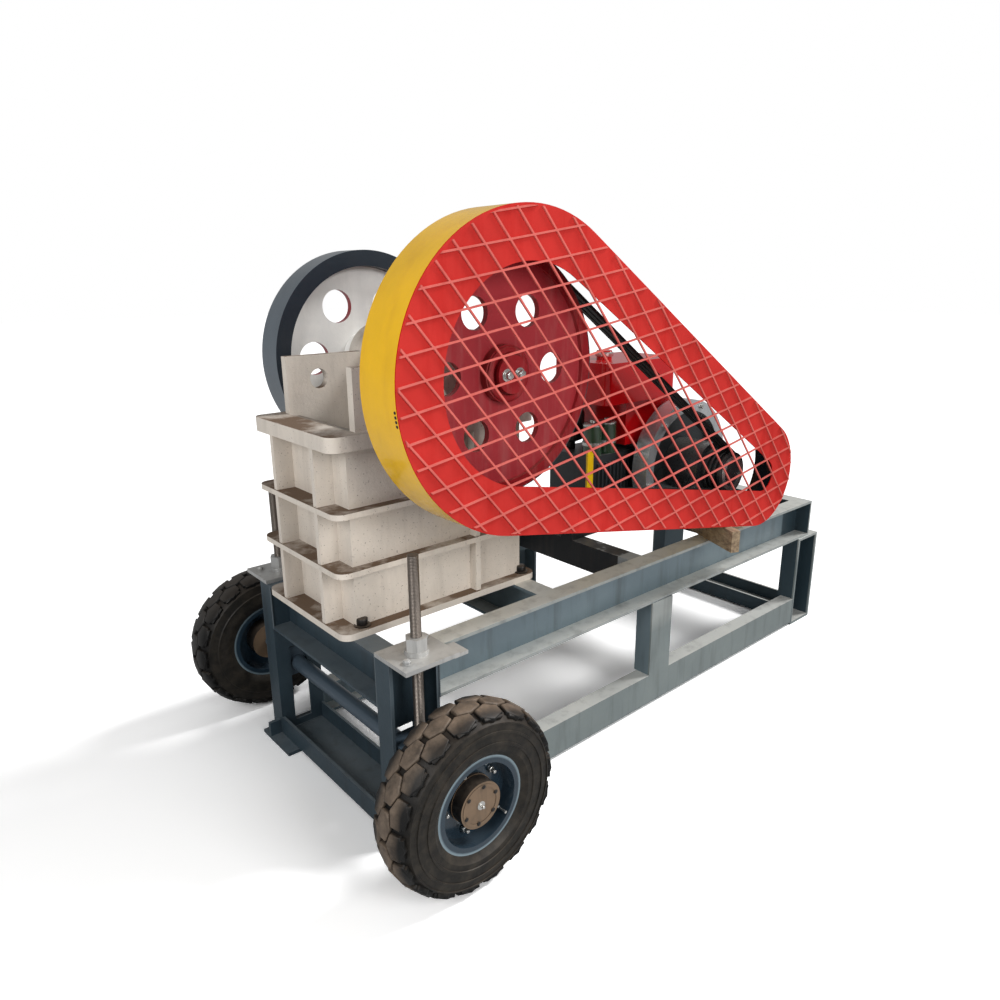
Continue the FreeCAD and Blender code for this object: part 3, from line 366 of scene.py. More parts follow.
def build_materials():
    """Every finish by name."""
    return {
        "frame_paint": weathered("frame_paint", None, DARK, GREY_DUST, (0.35, 0.10, 0.10), (0.34, 0.6), 0.3,
                                 recolour=frame_colours),
        "plate_steel": weathered("plate_steel", colour(0.48, 0.48, 0.47), DARK, GREY_DUST, (0.3, 0.35, 0.3),
                                 (0.35, 0.6), 0.4, scale=9.0),
        "dark_steel": weathered("dark_steel", colour(0.07, 0.10, 0.13), DARK, GREY_DUST, (0.0, 0.0, 0.0),
                                (0.3, 0.5), 0.3, relief=0.00002, scale=3.0),
        "thread_steel": threaded("thread_steel"),
        "tyre_rubber": weathered("tyre_rubber", None, colour(0.012, 0.011, 0.010), colour(0.13, 0.10, 0.075),
                                 (0.2, 0.2, 0.05), (0.45, 0.8), scale=8.0, relief=0.0008,
                                 recolour=tyre_colours, shine=0.25),
        "rim_paint": weathered("rim_paint", None, DARK, GREY_DUST, (0.2, 0.05, 0.02), (0.18, 0.35), 0.3,
                               coat=0.5, relief=0.0002, scale=9.0, recolour=rim_colours, shine=0.35),
        "hub_bronze": weathered("hub_bronze", None, DARK, DUST, (0.3, 0.2, 0.1), (0.35, 0.6), 0.35,
                                relief=0.0004, scale=14.0, recolour=hub_colours),
        "black_beam": weathered("black_beam", None, colour(0.16, 0.12, 0.09), GREY_DUST, (0.15, 0.2, 0.1),
                                (0.4, 0.65), recolour=beam_colours),
        "guard_yellow": weathered("guard_yellow", None, colour(0.55, 0.24, 0.01), DUST, (0.25, 0.02, 0.02),
                                  (0.2, 0.4), coat=0.3, relief=0.0009, scale=3.5,
                                  recolour=band_colours, shine=0.3),
        "strap_yellow": weathered("strap_yellow", colour(0.80, 0.50, 0.002), DARK, DUST, (0.2, 0.1, 0.1),
                                  (0.3, 0.5), scale=9.0),
        "guard_red": weathered("guard_red", None, colour(0.34, 0.004, 0.004), DUST, (0.35, 0.03, 0.03),
                               (0.5, 0.75), relief=0.0008, scale=4.5, recolour=guard_colours, shine=0.0),
        "cast_cream": weathered("cast_cream", colour(0.70, 0.635, 0.56), colour(0.17, 0.13, 0.10),
                                colour(0.13, 0.085, 0.055), (0.20, 1.0, 0.8), (0.5, 0.8),
                                relief=0.0022, scale=5.0, shine=0.3),
        "jaw_iron": weathered("jaw_iron", colour(0.16, 0.15, 0.14), DARK, DUST, (0.4, 0.5, 0.3),
                              (0.4, 0.7), 0.6,
                              relief=0.002, scale=9.0),
        "belt_rubber": weathered("belt_rubber", colour(0.015, 0.015, 0.016), DARK, GREY_DUST,
                                 (0.1, 0.15, 0.1),
                                 (0.5, 0.75), scale=12.0),
        "engine_grey": weathered("engine_grey", colour(0.040, 0.044, 0.048), DARK, GREY_DUST, (0.5, 0.2, 0.2),
                                 (0.35, 0.6), 0.4, scale=10.0),
        "engine_red": weathered("engine_red", colour(0.50, 0.004, 0.006), colour(0.2, 0.01, 0.01), GREY_DUST,
                                (0.15, 0.04, 0.02), (0.12, 0.3), coat=0.3, relief=0.0002,
                                scale=4.0, shine=0.3),
        "filter_green": weathered("filter_green", colour(0.025, 0.055, 0.028), DARK, GREY_DUST,
                                  (0.3, 0.2, 0.1),
                                  (0.15, 0.35), coat=0.6, scale=12.0),
        "flywheel_paint": weathered("flywheel_paint", None, DARK, DUST, (0.12, 0.08, 0.1), (0.3, 0.55),
                                    coat=0.2,
                                    relief=0.0008, recolour=flywheel_colours),
        "pulley_red": weathered("pulley_red", None, colour(0.45, 0.22, 0.2), DUST, (0.25, 0.15, 0.15),
                                (0.35, 0.6),
                                relief=0.0008, recolour=pulley_colours, shine=0.2),
        "engine_silver": weathered("engine_silver", None, DARK, GREY_DUST, (0.25, 0.05, 0.0),
                                   (0.22, 0.4), 0.75,
                                   relief=0.0002, scale=9.0, recolour=engine_wheel_colours),
        "drum_black": weathered("drum_black", colour(0.02, 0.02, 0.022), DARK, GREY_DUST, (0.2, 0.2, 0.2),
                                (0.25, 0.5), coat=0.3, scale=9.0),
        "bright_metal": weathered("bright_metal", colour(0.62, 0.62, 0.60), DARK, GREY_DUST, (0.2, 0.1, 0.2),
                                  (0.2, 0.4), 0.9, scale=14.0),
        "bolt_black": weathered("bolt_black", colour(0.018, 0.017, 0.017), DUST, DUST, (0.15, 0.25, 0.2),
                                (0.35, 0.6), 0.5, scale=20.0),
        "weld_metal": weathered("weld_metal", colour(0.13, 0.16, 0.18), DARK, GREY_DUST, (0.3, 0.2, 0.3),
                                (0.35, 0.6), 0.5, relief=0.002, scale=18.0),
        "timber": sawn_timber("timber"),
    }


MATERIALS = {}
FINISHES = {
    "frame_paint": ["upper_rail_near", "upper_rail_far", "upper_cross_members", "upper_cross_rear",
                    "front_post_near", "front_post_far", "rear_posts", "rear_top_plate", "mid_posts",
                    "lower_rails", "lower_cross_members", "foot_pads"],
    "plate_steel": ["jack_plates", "jack_nuts"],
    "dark_steel": ["axle_beam", "axle_carriers"],
    "thread_steel": ["jack_screws"],
    "tyre_rubber": ["tyre_near", "tyre_far"],
    "rim_paint": ["rim_near", "rim_far"],
    "hub_bronze": ["hub_near", "hub_far"],
    "black_beam": ["engine_beams", "engine_bearers"],
    "guard_yellow": ["guard_band"],
    "strap_yellow": ["guard_bracket", "upright_strap"],
    "guard_red": ["guard_front"],
    "cast_cream": ["crusher_frame", "moving_jaw", "bearing_blocks"],
    "jaw_iron": ["fixed_jaw", "toggle_plate"],
    "belt_rubber": ["drive_belts"],
    "engine_grey": ["engine_block"],
    "engine_red": ["engine_hood", "fuel_tank"],
    "filter_green": ["fuel_filters"],
    "flywheel_paint": ["flywheel"],
    "pulley_red": ["belt_pulley", "crusher_shaft"],
    "engine_silver": ["engine_flywheel"],
    "drum_black": ["engine_pulley"],
    "timber": ["timber_prop"],
}


# ------------------------------------------------------------------ modelling

def deselect():
    if bpy.context.object and bpy.context.object.mode != "OBJECT":
        bpy.ops.object.mode_set(mode="OBJECT")
    bpy.ops.object.select_all(action="DESELECT")


def pick_faces(piece, wanted):
    """Select a piece's faces for which wanted(face) holds, and go to edit mode."""
    bpy.ops.object.mode_set(mode="EDIT")
    bpy.ops.mesh.select_all(action="DESELECT")
    bpy.ops.object.mode_set(mode="OBJECT")
    for face in piece.data.polygons:
        face.select = wanted(face)
    bpy.ops.object.mode_set(mode="EDIT")
    bpy.ops.mesh.select_mode(type="FACE")


def bevelled(piece, width, segments=2):
    """Round a piece's sharp edges."""
    modifier = piece.modifiers.new("round", "BEVEL")
    modifier.width = width
    modifier.segments = segments
    modifier.limit_method = "ANGLE"
    modifier.angle_limit = math.radians(35)
    bpy.ops.object.modifier_apply(modifier="round")


def turned(points, segments=48):
    """A ring of points drawn along +Z: each (radius, height) is one more loop; open ends are filled."""
    deselect()
    radius, height = points[0]
    bpy.ops.mesh.primitive_circle_add(vertices=segments, radius=radius, location=(0, 0, 0), fill_type="NGON")
    piece = bpy.context.object
    bpy.ops.object.mode_set(mode="EDIT")
    bpy.ops.mesh.select_all(action="SELECT")
    bpy.ops.transform.translate(value=(0, 0, height))
    for (inner, low), (outer, high) in zip(points, points[1:]):
        scale = outer / inner
        bpy.ops.mesh.extrude_region_move(TRANSFORM_OT_translate={"value": (0, 0, high - low)})
        bpy.ops.transform.resize(value=(scale, scale, 1), center_override=(0, 0, high))
    bpy.ops.object.mode_set(mode="OBJECT")
    return piece


def closed_ring(points, segments=64):
    """A turned ring with a hole: the loop of points comes back to its first one."""
    piece = turned([*points, points[0]], segments)
    pick_faces(piece, lambda face: len(face.vertices) > 4)
    bpy.ops.mesh.delete(type="ONLY_FACE")
    bpy.ops.mesh.select_all(action="SELECT")
    bpy.ops.mesh.remove_doubles(threshold=0.00005)
    bpy.ops.mesh.normals_make_consistent(inside=False)
    bpy.ops.object.mode_set(mode="OBJECT")
    return piece


def block(lengths, place, round_edge=0.0):
    """A box of three lengths, its edges rounded."""
    deselect()
    bpy.ops.mesh.primitive_cube_add(size=1, location=place)
    piece = bpy.context.object
    piece.scale = lengths
    bpy.ops.object.transform_apply(location=True, rotation=True, scale=True)
    if round_edge:
        bevelled(piece, round_edge)
    return piece


def hex_bolt(flats, height, washer=True):
    """A chamfered hexagon head on a washer, standing on Z=0."""
    tip = flats / math.sqrt(3)
    head = turned([(tip * 0.999, 0.0), (tip, height * 0.8), (tip * 0.86, height)], 6)
    bevelled(head, flats * 0.03, 1)
    if not washer:
        return head
    ring = turned([(flats * 0.78, -height * 0.18), (flats * 0.8, -height * 0.02), (flats * 0.74, 0.0)], 20)
    return joined([head, ring])


def joined(pieces):
    deselect()
    for piece in pieces:
        piece.select_set(True)
    bpy.context.view_layer.objects.active = pieces[0]
    if len(pieces) > 1:
        bpy.ops.object.join()
    return bpy.context.object


def spread(model, places):
    """Copies of one model, each with its own mesh, at each matrix, joined in one piece."""
    copies = []
    for place in places:
        copy = model.copy()
        copy.data = model.data.copy()
        bpy.context.collection.objects.link(copy)
        copy.matrix_world = place
        copies.append(copy)
    bpy.data.objects.remove(model)
    return joined(copies)


def done(piece, name, body, finish, smooth=35):
    """Put a piece's place in its mesh, name it, give its finish and fix it to a body."""
    deselect()
    piece.select_set(True)
    bpy.context.view_layer.objects.active = piece
    bpy.ops.object.transform_apply(location=True, rotation=True, scale=True)
    piece.name = name
    piece.data.name = name
    piece.data.materials.clear()
    piece.data.materials.append(MATERIALS[finish])
    if smooth:
        bpy.ops.object.shade_smooth_by_angle(angle=math.radians(smooth))
    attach(piece, body)
    return piece


def at(x, y, z, turn=None):
    return Matrix.Translation((x, y, z)) @ (turn or Matrix())


def facing(side):
    """Turns a piece's +Z to -Y for the near side or +Y for the far one."""
    return Euler((math.radians(90 if side < 0 else -90), 0, 0)).to_matrix().to_4x4()


def round_y(centre, radius, angle, y, side=-1):
    return at(centre.x + radius * math.cos(angle), y, centre.z + radius * math.sin(angle), facing(side))


# ------------------------------------------------------------------ sizes a user may change

class CrusherSizes(bpy.types.PropertyGroup):
    lug_count: bpy.props.IntProperty(name="Tread lugs", description="Lugs round each tyre",
                                     default=18, min=8, max=40)
    lug_depth: bpy.props.FloatProperty(name="Lug depth", description="Depth of the tread grooves",
                                       default=0.012, unit="LENGTH")
    bolt_flats: bpy.props.FloatProperty(name="Casting bolt", description="Across flats of the base bolts",
                                        default=0.030, unit="LENGTH")
    weld_width: bpy.props.FloatProperty(name="Weld bead", description="Width of the frame's weld beads",
                                        default=0.007, unit="LENGTH")
    floor_colour: bpy.props.FloatVectorProperty(name="Floor", description="Light the studio floor gives back",
                                                subtype="COLOR", default=(0.42, 0.42, 0.42), min=0, max=1)


def sizes():
    return bpy.context.scene.crusher_sizes


# ------------------------------------------------------------------ operators

class CRUSHER_OT_finishes(bpy.types.Operator):
    """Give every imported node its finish"""
    bl_idname = "crusher.finishes"
    bl_label = "Finishes"

    def execute(self, context):
        MATERIALS.update(build_materials())
        for finish, nodes in FINISHES.items():
            for node in nodes:
                piece = bpy.data.objects[node]
                piece.data.materials.clear()
                piece.data.materials.append(MATERIALS[finish])
        return {"FINISHED"}


def tyre():
    """A tyre with a ribbed sidewall and three rows of worn six-sided lugs."""
    outer = (TYRE_HIGH.z - TYRE_LOW.z) / 2
    half = (TYRE_HIGH.y - TYRE_LOW.y) / 2
    deep = sizes().lug_depth
    inner = 0.125
    profile = [(inner, -half + 0.020), (0.1395, -half + 0.014), (0.152, -half + 0.003), (0.168, -half),
               (0.176, -half + 0.0025), (0.196, -half + 0.001), (0.199, -half + 0.004),
               (0.226, -half + 0.007),
               (outer - deep - 0.006, -half + 0.026), (outer - deep, -half + 0.050),
               (outer - deep, half - 0.050), (outer - deep - 0.006, half - 0.026), (0.226, half - 0.007),
               (0.2255, half - 0.0045), (0.222, half - 0.0040), (0.2215, half - 0.0062),
               (0.205, half - 0.0045), (0.2045, half - 0.0015), (0.199, half - 0.0010),
               (0.1985, half - 0.0035), (0.176, half - 0.0025),
               (0.1755, half), (0.168, half), (0.167, half - 0.0025), (0.152, half - 0.003),
               (0.1395, half - 0.014), (inner, half - 0.020)]
    carcass = closed_ring(profile, 96)
    count = sizes().lug_count
    pitch = 2 * math.pi / count
    arc = pitch * outer
    rows = [(0.0, 0.0, 0.046, 0.0), (-0.0375, 0.5, 0.050, 17), (0.0375, 0.5, 0.050, -17)]
    lugs = []
    for along, stagger, width, tilt in rows:
        deselect()
        bpy.ops.mesh.primitive_cylinder_add(vertices=6, radius=0.5, depth=deep + 0.006, location=(0, 0, 0))
        lug = bpy.context.object
        lug.scale = (arc - 0.008, width * 1.12, 1)
        bpy.ops.object.transform_apply(location=False, rotation=True, scale=True)
        pick_faces(lug, lambda face: face.normal.z > 0.9)
        bpy.ops.mesh.inset(thickness=0.004)
        bpy.ops.transform.translate(value=(0, 0, 0.0015))
        bpy.ops.object.mode_set(mode="OBJECT")
        bevelled(lug, 0.0018, 2)
        lean = Euler((math.radians(tilt), 0, 0)).to_matrix().to_4x4()
        down = 0.0075 if tilt == 0 else 0.0145
        places = []
        for i in range(count):
            spin = Euler((0, (i + stagger) * pitch, 0)).to_matrix().to_4x4()
            places.append(spin @ Matrix.Translation((0, along, outer - down - 0.0045)) @ lean)
        lugs.append(spread(lug, places))
    shoulders = []
    for sign in (-1, 1):
        deselect()
        bpy.ops.mesh.primitive_cube_add(size=1, location=(0, 0, 0))
        bar = bpy.context.object
        bar.scale = (arc * 0.66, 0.010, 0.030)
        bpy.ops.object.transform_apply(location=False, rotation=True, scale=True)
        bevelled(bar, 0.003, 2)
        lean = Euler((math.radians(-34 * sign), 0, 0)).to_matrix().to_4x4()
        shoulders.append(spread(bar, [
            Euler((0, (i + 0.5) * pitch, 0)).to_matrix().to_4x4()
            @ Matrix.Translation((0, sign * (half - 0.0205), outer - 0.030)) @ lean for i in range(count)]))
    carcass.matrix_world = TURN_Y
    return joined([carcass, *lugs, *shoulders])


class CRUSHER_OT_tyres(bpy.types.Operator):
    """Lugged tyres in place of the plain ones"""
    bl_idname = "crusher.tyres"
    bl_label = "Tyres"

    def execute(self, context):
        for word, side in (("near", -1), ("far", 1)):
            piece = tyre()
            centre = WHEEL[word]
            turn = Euler((0, 0, math.radians(180))).to_matrix().to_4x4() if side < 0 else Matrix()
            piece.matrix_world = at(*centre) @ turn @ piece.matrix_world
            done(piece, f"lugged_tyre_{word}", f"{word}_wheel", "tyre_rubber")
            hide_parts(f"tyre_{word}")
        return {"FINISHED"}


class CRUSHER_OT_wheel_fittings(bpy.types.Operator):
    """Wheel studs and nuts, valve stems, and the hub caps' step, screws and centre pin"""
    bl_idname = "crusher.wheel_fittings"
    bl_label = "Wheel fittings"

    def execute(self, context):
        for word, side in (("near", -1), ("far", 1)):
            centre = WHEEL[word]
            disc = centre.y + side * (0.072 - 0.062)
            hub_end = max(abs(y) for y in (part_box(f"hub_{word}")[0][1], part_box(f"hub_{word}")[1][1])) * side
            nut = hex_bolt(0.017, 0.011)
            stud = turned([(0.0055, 0.0), (0.0055, 0.021), (0.0045, 0.0225)], 12)
            stud = joined([nut, stud])
            studs = spread(stud, [round_y(centre, 0.086, math.radians(110 + 72 * i), disc, side)
                                  for i in range(5)])
            done(studs, f"wheel_nuts_{word}", f"{word}_wheel", "bright_metal")
            stem = turned([(0.0045, 0.0), (0.0045, 0.020), (0.003, 0.022), (0.003, 0.040), (0.0038, 0.041),
                           (0.0038, 0.048)], 12)
            stem.matrix_world = round_y(centre, 0.106, math.radians(-38), disc - side * 0.002, side)
            done(stem, f"valve_stem_{word}", f"{word}_wheel", "bright_metal")
            screw = turned([(0.0058, -0.001), (0.0058, 0.0024), (0.0044, 0.0032)], 12)
            screws = spread(screw, [round_y(centre, 0.051, math.radians(20 + 60 * i), hub_end, side)
                                    for i in range(6)])
            done(screws, f"hub_screws_{word}", f"{word}_wheel", "bolt_black")
            step = closed_ring([(0.050, -0.0005), (0.0575, -0.0005), (0.0575, 0.0012), (0.050, 0.0012)], 64)
            step.matrix_world = at(centre.x, hub_end, centre.z, facing(side))
            done(step, f"hub_step_{word}", f"{word}_wheel", "hub_bronze")
            boss = turned([(0.012, -0.001), (0.012, 0.002), (0.0045, 0.003), (0.0045, 0.012),
                           (0.003, 0.0135)], 20)
            boss.matrix_world = at(centre.x, hub_end, centre.z, facing(side))
            done(boss, f"hub_centre_{word}", f"{word}_wheel", "bright_metal")
        return {"FINISHED"}


class CRUSHER_OT_casting_bolts(bpy.types.Operator):
    """Bolts through the casting's base flange"""
    bl_idname = "crusher.casting_bolts"
    bl_label = "Casting bolts"

    def execute(self, context):
        flats = sizes().bolt_flats
        base_top = CAST_LOW.z + 0.020
        places = [at(x, y, base_top + 0.004, Euler((0, 0, turn)).to_matrix().to_4x4())
                  for x, turn in ((CAST_LOW.x + 0.078, 0.3), (CAST_HIGH.x - 0.042, 0.9))
                  for y in (CAST_LOW.y + 0.034, CAST_HIGH.y - 0.034)]
        done(spread(hex_bolt(flats, 0.020), places), "base_bolts", "frame", "bolt_black")
        return {"FINISHED"}


class CRUSHER_OT_shaft_fittings(bpy.types.Operator):
    """Two bolts in the end of the crusher's shaft, and a ring on the pulley's hub"""
    bl_idname = "crusher.shaft_fittings"
    bl_label = "Shaft fittings"

    def execute(self, context):
        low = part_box("crusher_shaft")[0]
        centre = middle("crusher_shaft")
        places = [at(centre.x + dx, low[1] - 0.002, centre.z, facing(-1)) for dx in (-0.022, 0.022)]
        done(spread(hex_bolt(0.022, 0.014), places), "shaft_end_bolts", "crusher_rotor", "bright_metal")
        ring = closed_ring([(0.056, 0.0), (0.074, 0.0), (0.074, 0.006), (0.070, 0.009), (0.060, 0.009),
                            (0.056, 0.006)], 48)
        ring.matrix_world = at(centre.x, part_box("belt_pulley")[0][1] + 0.001, centre.z, facing(-1))
        done(ring, "pulley_hub_ring", "crusher_rotor", "pulley_red")
        return {"FINISHED"}


class CRUSHER_OT_welds(bpy.types.Operator):
    """Rippled weld beads where the frame's channels meet"""
    bl_idname = "crusher.welds"
    bl_label = "Frame welds"

    def execute(self, context):
        width = sizes().weld_width
        beads = []
        post_low, post_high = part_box("front_post_near")
        rail_low, rail_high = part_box("upper_rail_near")
        mid_low, mid_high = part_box("mid_posts")
        lower_low, lower_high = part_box("lower_rails")
        runs = []
        for side in (-1, 1):
            tip = side * (abs(post_low[1]) - 0.0005)
            runs += [((post_high[0], tip, rail_low[2]), (post_high[0], tip, rail_high[2] - 0.012)),
                     ((mid_low[0], side * abs(mid_low[1]) * 0.986, rail_low[2]),
                      (mid_high[0], side * abs(mid_low[1]) * 0.986, rail_low[2])),
                     ((mid_low[0], side * (abs(mid_low[1]) - 0.004), lower_high[2]),
                      (mid_high[0], side * (abs(mid_low[1]) - 0.004), lower_high[2])),
                     ((lower_high[0], side * (abs(lower_low[1]) - 0.002), lower_low[2]),
                      (lower_high[0], side * (abs(lower_low[1]) - 0.002), lower_high[2])),
                     ((post_low[0] + 0.01, side * 0.323, 0.0215),
                      (post_high[0] - 0.01, side * 0.323, 0.0215))]
        for y in (-0.321, 0.321):
            x = post_low[0] + 0.002
            runs.append(((x, y, rail_low[2] + 0.002), (x, y, rail_high[2] - 0.004)))
        for start, end in runs:
            start, end = Vector(start), Vector(end)
            length = (end - start).length
            count = max(3, int(length / (width * 0.9)))
            step = length / count
            profile = []
            for i in range(count):
                profile += [(width * 0.40, i * step), (width * 0.5, (i + 0.5) * step)]
            profile.append((width * 0.3, length))
            bead = turned(profile, 6)
            bead.matrix_world = at(*start) @ (end - start).to_track_quat("Z", "Y").to_matrix().to_4x4()
            beads.append(bead)
        done(joined(beads), "frame_welds", "frame", "weld_metal", 60)
        return {"FINISHED"}


class CRUSHER_OT_guard_fittings(bpy.types.Operator):
    """Weld dots on the guard's wires and a column of rivets in its band"""
    bl_idname = "crusher.guard_fittings"
    bl_label = "Guard fittings"

    def execute(self, context):
        rise, fall = math.radians(9), math.radians(-49)
        spacing = 0.080 * math.sin(rise - fall)
        start = Vector((SHAFT.x, 0, SHAFT.z))
        tail = Vector((SHAFT.x + 1.204, 0, 0.809))
        centre = (start + tail) / 2
        normals = [Vector((-math.sin(a), 0, math.cos(a))) for a in (rise, fall)]
        run = (tail - start)

        def inside(point):
            share = min(1, max(0, (point - start).dot(run) / run.length_squared))
            return (point - start - run * share).length < 0.405 - 0.231 * share
        places = []
        turning = normals[0].x * normals[1].z - normals[1].x * normals[0].z
        for i in range(-20, 21):
            for j in range(-20, 21):
                a, b = i * spacing, j * spacing
                x = (a * normals[1].z - b * normals[0].z) / turning
                z = (normals[0].x * b - normals[1].x * a) / turning
                point = centre + Vector((x, 0, z))
                if inside(point):
                    places.append(at(point.x, GUARD_LOW.y + 0.0025, point.z, facing(-1)))
        dot = turned([(0.0048, -0.002), (0.0046, 0.001), (0.0024, 0.0024)], 8)
        done(spread(dot, places), "mesh_weld_dots", "frame", "guard_red", 60)
        rivet = turned([(0.0042, -0.001), (0.004, 0.0012), (0.002, 0.002)], 8)
        angles = [math.radians(186 + 1.5 * i) for i in range(4)]
        reach = 0.4268
        rivets = [at(SHAFT.x + reach * math.cos(a), -0.468, SHAFT.z + reach * math.sin(a))
                  @ Vector((math.cos(a), 0, math.sin(a))).to_track_quat("Z", "Y").to_matrix().to_4x4()
                  for a in angles]
        done(spread(rivet, rivets), "band_rivets", "frame", "bolt_black", 60)
        return {"FINISHED"}


class CRUSHER_OT_engine_fittings(bpy.types.Operator):
    """Cylinder fins, crankcase cover, filler cap, filter lids, silencer, and flywheel bolts and ring"""
    bl_idname = "crusher.engine_fittings"
    bl_label = "Engine fittings"

    def execute(self, context):
        low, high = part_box("engine_block")
        tank_low, tank_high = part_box("fuel_tank")
        cup_low, cup_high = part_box("fuel_filters")
        cylinder_y = (low[1] + 0.030, high[1] - 0.030)
        fin = block((0.006, cylinder_y[1] - cylinder_y[0] + 0.020, 0.17),
                    (0, (cylinder_y[0] + cylinder_y[1]) / 2, 0), 0.002)
        fins = spread(fin, [at(low[0] + 0.035 + 0.022 * i, 0, 0.765) for i in range(9)])
        done(fins, "cylinder_fins", "frame", "engine_grey")
        cover = block((0.20, 0.016, 0.20), (low[0] + 0.46, low[1] - 0.004, 0.77), 0.006)
        done(cover, "crankcase_cover", "frame", "engine_grey")
        bolts = [at(low[0] + 0.46 + 0.088 * sx, low[1] - 0.012, 0.77 + 0.088 * sz, facing(-1))
                 for sx in (-1, 0, 1) for sz in (-1, 1)]
        done(spread(hex_bolt(0.012, 0.007), bolts), "cover_bolts", "frame", "bright_metal")
        cap_x = tank_low[0] + (tank_high[0] - tank_low[0]) / 3
        cap_y = (tank_low[1] + tank_high[1]) / 2
        cap = turned([(0.034, 0.0), (0.036, 0.004), (0.036, 0.014), (0.030, 0.018), (0.012, 0.019),
                      (0.012, 0.021)], 28)
        cap.matrix_world = at(cap_x, cap_y, tank_high[2] - 0.022)
        done(cap, "filler_cap", "frame", "bright_metal")
        for i in range(2):
            x = cup_low[0] + 0.036 + 0.082 * i
            y = (cup_low[1] + cup_high[1]) / 2
            lid = turned([(0.037, 0.0), (0.0375, 0.006), (0.030, 0.012), (0.011, 0.014), (0.011, 0.020),
                          (0.009, 0.022)], 28)
            lid.matrix_world = at(x, y, cup_high[2] - 0.004)
            done(lid, f"filter_lid_{i}", "frame", "bright_metal")
            band = closed_ring([(0.0362, 0.0), (0.0385, 0.0), (0.0385, 0.012), (0.0362, 0.012)], 40)
            band.matrix_world = at(x, y, cup_low[2] + 0.040)
            done(band, f"filter_band_{i}", "frame", "bright_metal")
        silencer = turned([(0.018, 0.0), (0.018, 0.030), (0.050, 0.045), (0.052, 0.055), (0.052, 0.145),
                           (0.048, 0.158), (0.020, 0.162), (0.020, 0.172)], 32)
        silencer.matrix_world = at(low[0] + 0.07, high[1] - 0.075, low[2] + 0.262)
        done(silencer, "silencer", "frame", "bolt_black")
        centre = middle("engine_flywheel")
        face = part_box("engine_flywheel")[0][1]
        places = [round_y(centre, 0.236, math.radians(60 * i + 12), face - 0.001, -1) for i in range(6)]
        done(spread(hex_bolt(0.016, 0.009), places), "engine_wheel_bolts", "engine_rotor", "bright_metal")
        ring = closed_ring([(0.052, 0.0), (0.068, 0.0), (0.070, 0.003), (0.068, 0.006), (0.052, 0.006)], 40)
        pulley_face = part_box("engine_pulley")[0][1]
        ring.matrix_world = at(ENGINE_SHAFT.x, pulley_face + 0.001, ENGINE_SHAFT.z, facing(-1))
        done(ring, "engine_pulley_ring", "engine_rotor", "bright_metal")
        return {"FINISHED"}


class CRUSHER_OT_jack_fittings(bpy.types.Operator):
    """Bolts on the two jack plates"""
    bl_idname = "crusher.jack_fittings"
    bl_label = "Jack fittings"

    def execute(self, context):
        low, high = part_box("jack_plates")
        bolts = [at(low[0] + 0.030, side * 0.440, high[2] + 0.0015) for side in (-1, 1)]
        bolts += [at(low[0] + 0.150, side * 0.352, high[2] + 0.0015) for side in (-1, 1)]
        done(spread(hex_bolt(0.018, 0.010), bolts), "jack_plate_bolts", "frame", "plate_steel")
        return {"FINISHED"}


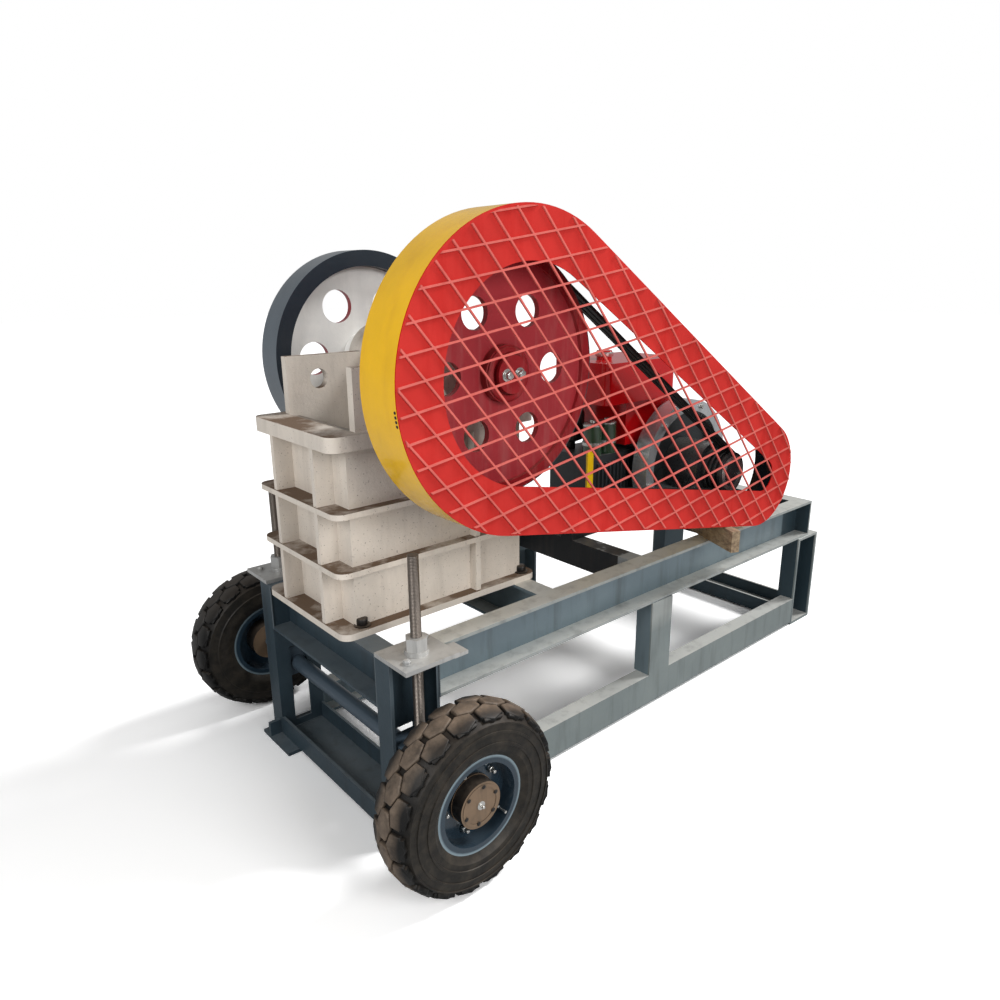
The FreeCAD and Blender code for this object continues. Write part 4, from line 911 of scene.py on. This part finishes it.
class CRUSHER_OT_studio(bpy.types.Operator):
    """Pale floor, soft lights and the camera"""
    bl_idname = "crusher.studio"
    bl_label = "Studio"

    def execute(self, context):
        deselect()
        bpy.ops.mesh.primitive_plane_add(size=60, location=(0, 0, 0))
        floor = bpy.context.object
        floor.name = "studio_floor"
        material, tree, shader = new_material("studio_floor")
        seen = add(tree, "LightPath").outputs["Is Camera Ray"]
        bright = mix(tree, seen, (*sizes().floor_colour, 1), colour(1.3, 1.3, 1.3))
        tree.links.new(bright, shader.inputs["Base Color"])
        shader.inputs["Roughness"].default_value = 1.0
        shader.inputs["Specular IOR Level"].default_value = 0.0
        floor.data.materials.append(material)
        world = context.scene.world or bpy.data.worlds.new("studio")
        context.scene.world = world
        world.use_nodes = True
        sky = world.node_tree.nodes["Background"]
        sky.inputs[0].default_value = (1.0, 1.0, 1.0, 1)
        seen = add(world.node_tree, "LightPath").outputs["Is Camera Ray"]
        world.node_tree.links.new(ramp(world.node_tree, seen, 0.0, 1.0, 0.33, 1.0), sky.inputs[1])
        context.scene.view_settings.view_transform = "Standard"
        lamps = [("key", (4.0, -1.4, 4.8), 0.26, 2.9), ("fill", (-0.6, -4.6, 2.6), 2.2, 120),
                 ("front", (-4.2, -1.2, 2.6), 1.8, 70)]
        for name, place, size, power in lamps:
            data = bpy.data.lights.new(name, "SUN" if name == "key" else "AREA")
            if name == "key":
                data.angle = size
            else:
                data.size = size
            data.energy = power
            lamp = bpy.data.objects.new(name, data)
            context.collection.objects.link(lamp)
            aim = Vector((0, 0, 0.7)) - Vector(place)
            lamp.matrix_world = at(*place) @ aim.to_track_quat("-Z", "Y").to_matrix().to_4x4()
        data = bpy.data.cameras.new("camera")
        data.sensor_width = 36.0
        data.lens = 27.37
        data.clip_end = 200
        camera = bpy.data.objects.new("camera", data)
        context.collection.objects.link(camera)
        yaw, pitch, roll = math.radians(-40.91), math.radians(-16.51), math.radians(-0.41)
        camera.matrix_world = (at(-1.9993, -1.9266, 1.5443)
                               @ Euler((math.radians(90) + pitch, 0, yaw)).to_matrix().to_4x4()
                               @ Matrix.Rotation(roll, 4, "Z"))
        context.scene.camera = camera
        return {"FINISHED"}


class CRUSHER_PT_panel(bpy.types.Panel):
    """Shows the crusher's sizes and a button for each building step"""
    bl_label = "Jaw crusher"
    bl_idname = "CRUSHER_PT_panel"
    bl_space_type = "VIEW_3D"
    bl_region_type = "UI"
    bl_category = "Crusher"

    def draw(self, context):
        for name in ("lug_count", "lug_depth", "bolt_flats", "weld_width", "floor_colour"):
            self.layout.prop(context.scene.crusher_sizes, name)
        for step in STEPS:
            self.layout.operator(step.bl_idname)


STEPS = (CRUSHER_OT_finishes, CRUSHER_OT_tyres, CRUSHER_OT_wheel_fittings, CRUSHER_OT_casting_bolts,
         CRUSHER_OT_shaft_fittings, CRUSHER_OT_welds, CRUSHER_OT_guard_fittings, CRUSHER_OT_engine_fittings,
         CRUSHER_OT_jack_fittings, CRUSHER_OT_studio)
CLASSES = (CrusherSizes, *STEPS, CRUSHER_PT_panel)


def register():
    for kind in CLASSES:
        bpy.utils.register_class(kind)
    bpy.types.Scene.crusher_sizes = bpy.props.PointerProperty(type=CrusherSizes)


def unregister():
    del bpy.types.Scene.crusher_sizes
    for kind in reversed(CLASSES):
        bpy.utils.unregister_class(kind)


def main():
    register()
    for step in STEPS:
        group_name, action = step.bl_idname.split(".")
        getattr(getattr(bpy.ops, group_name), action)()


if __name__ == "__main__":
    main()
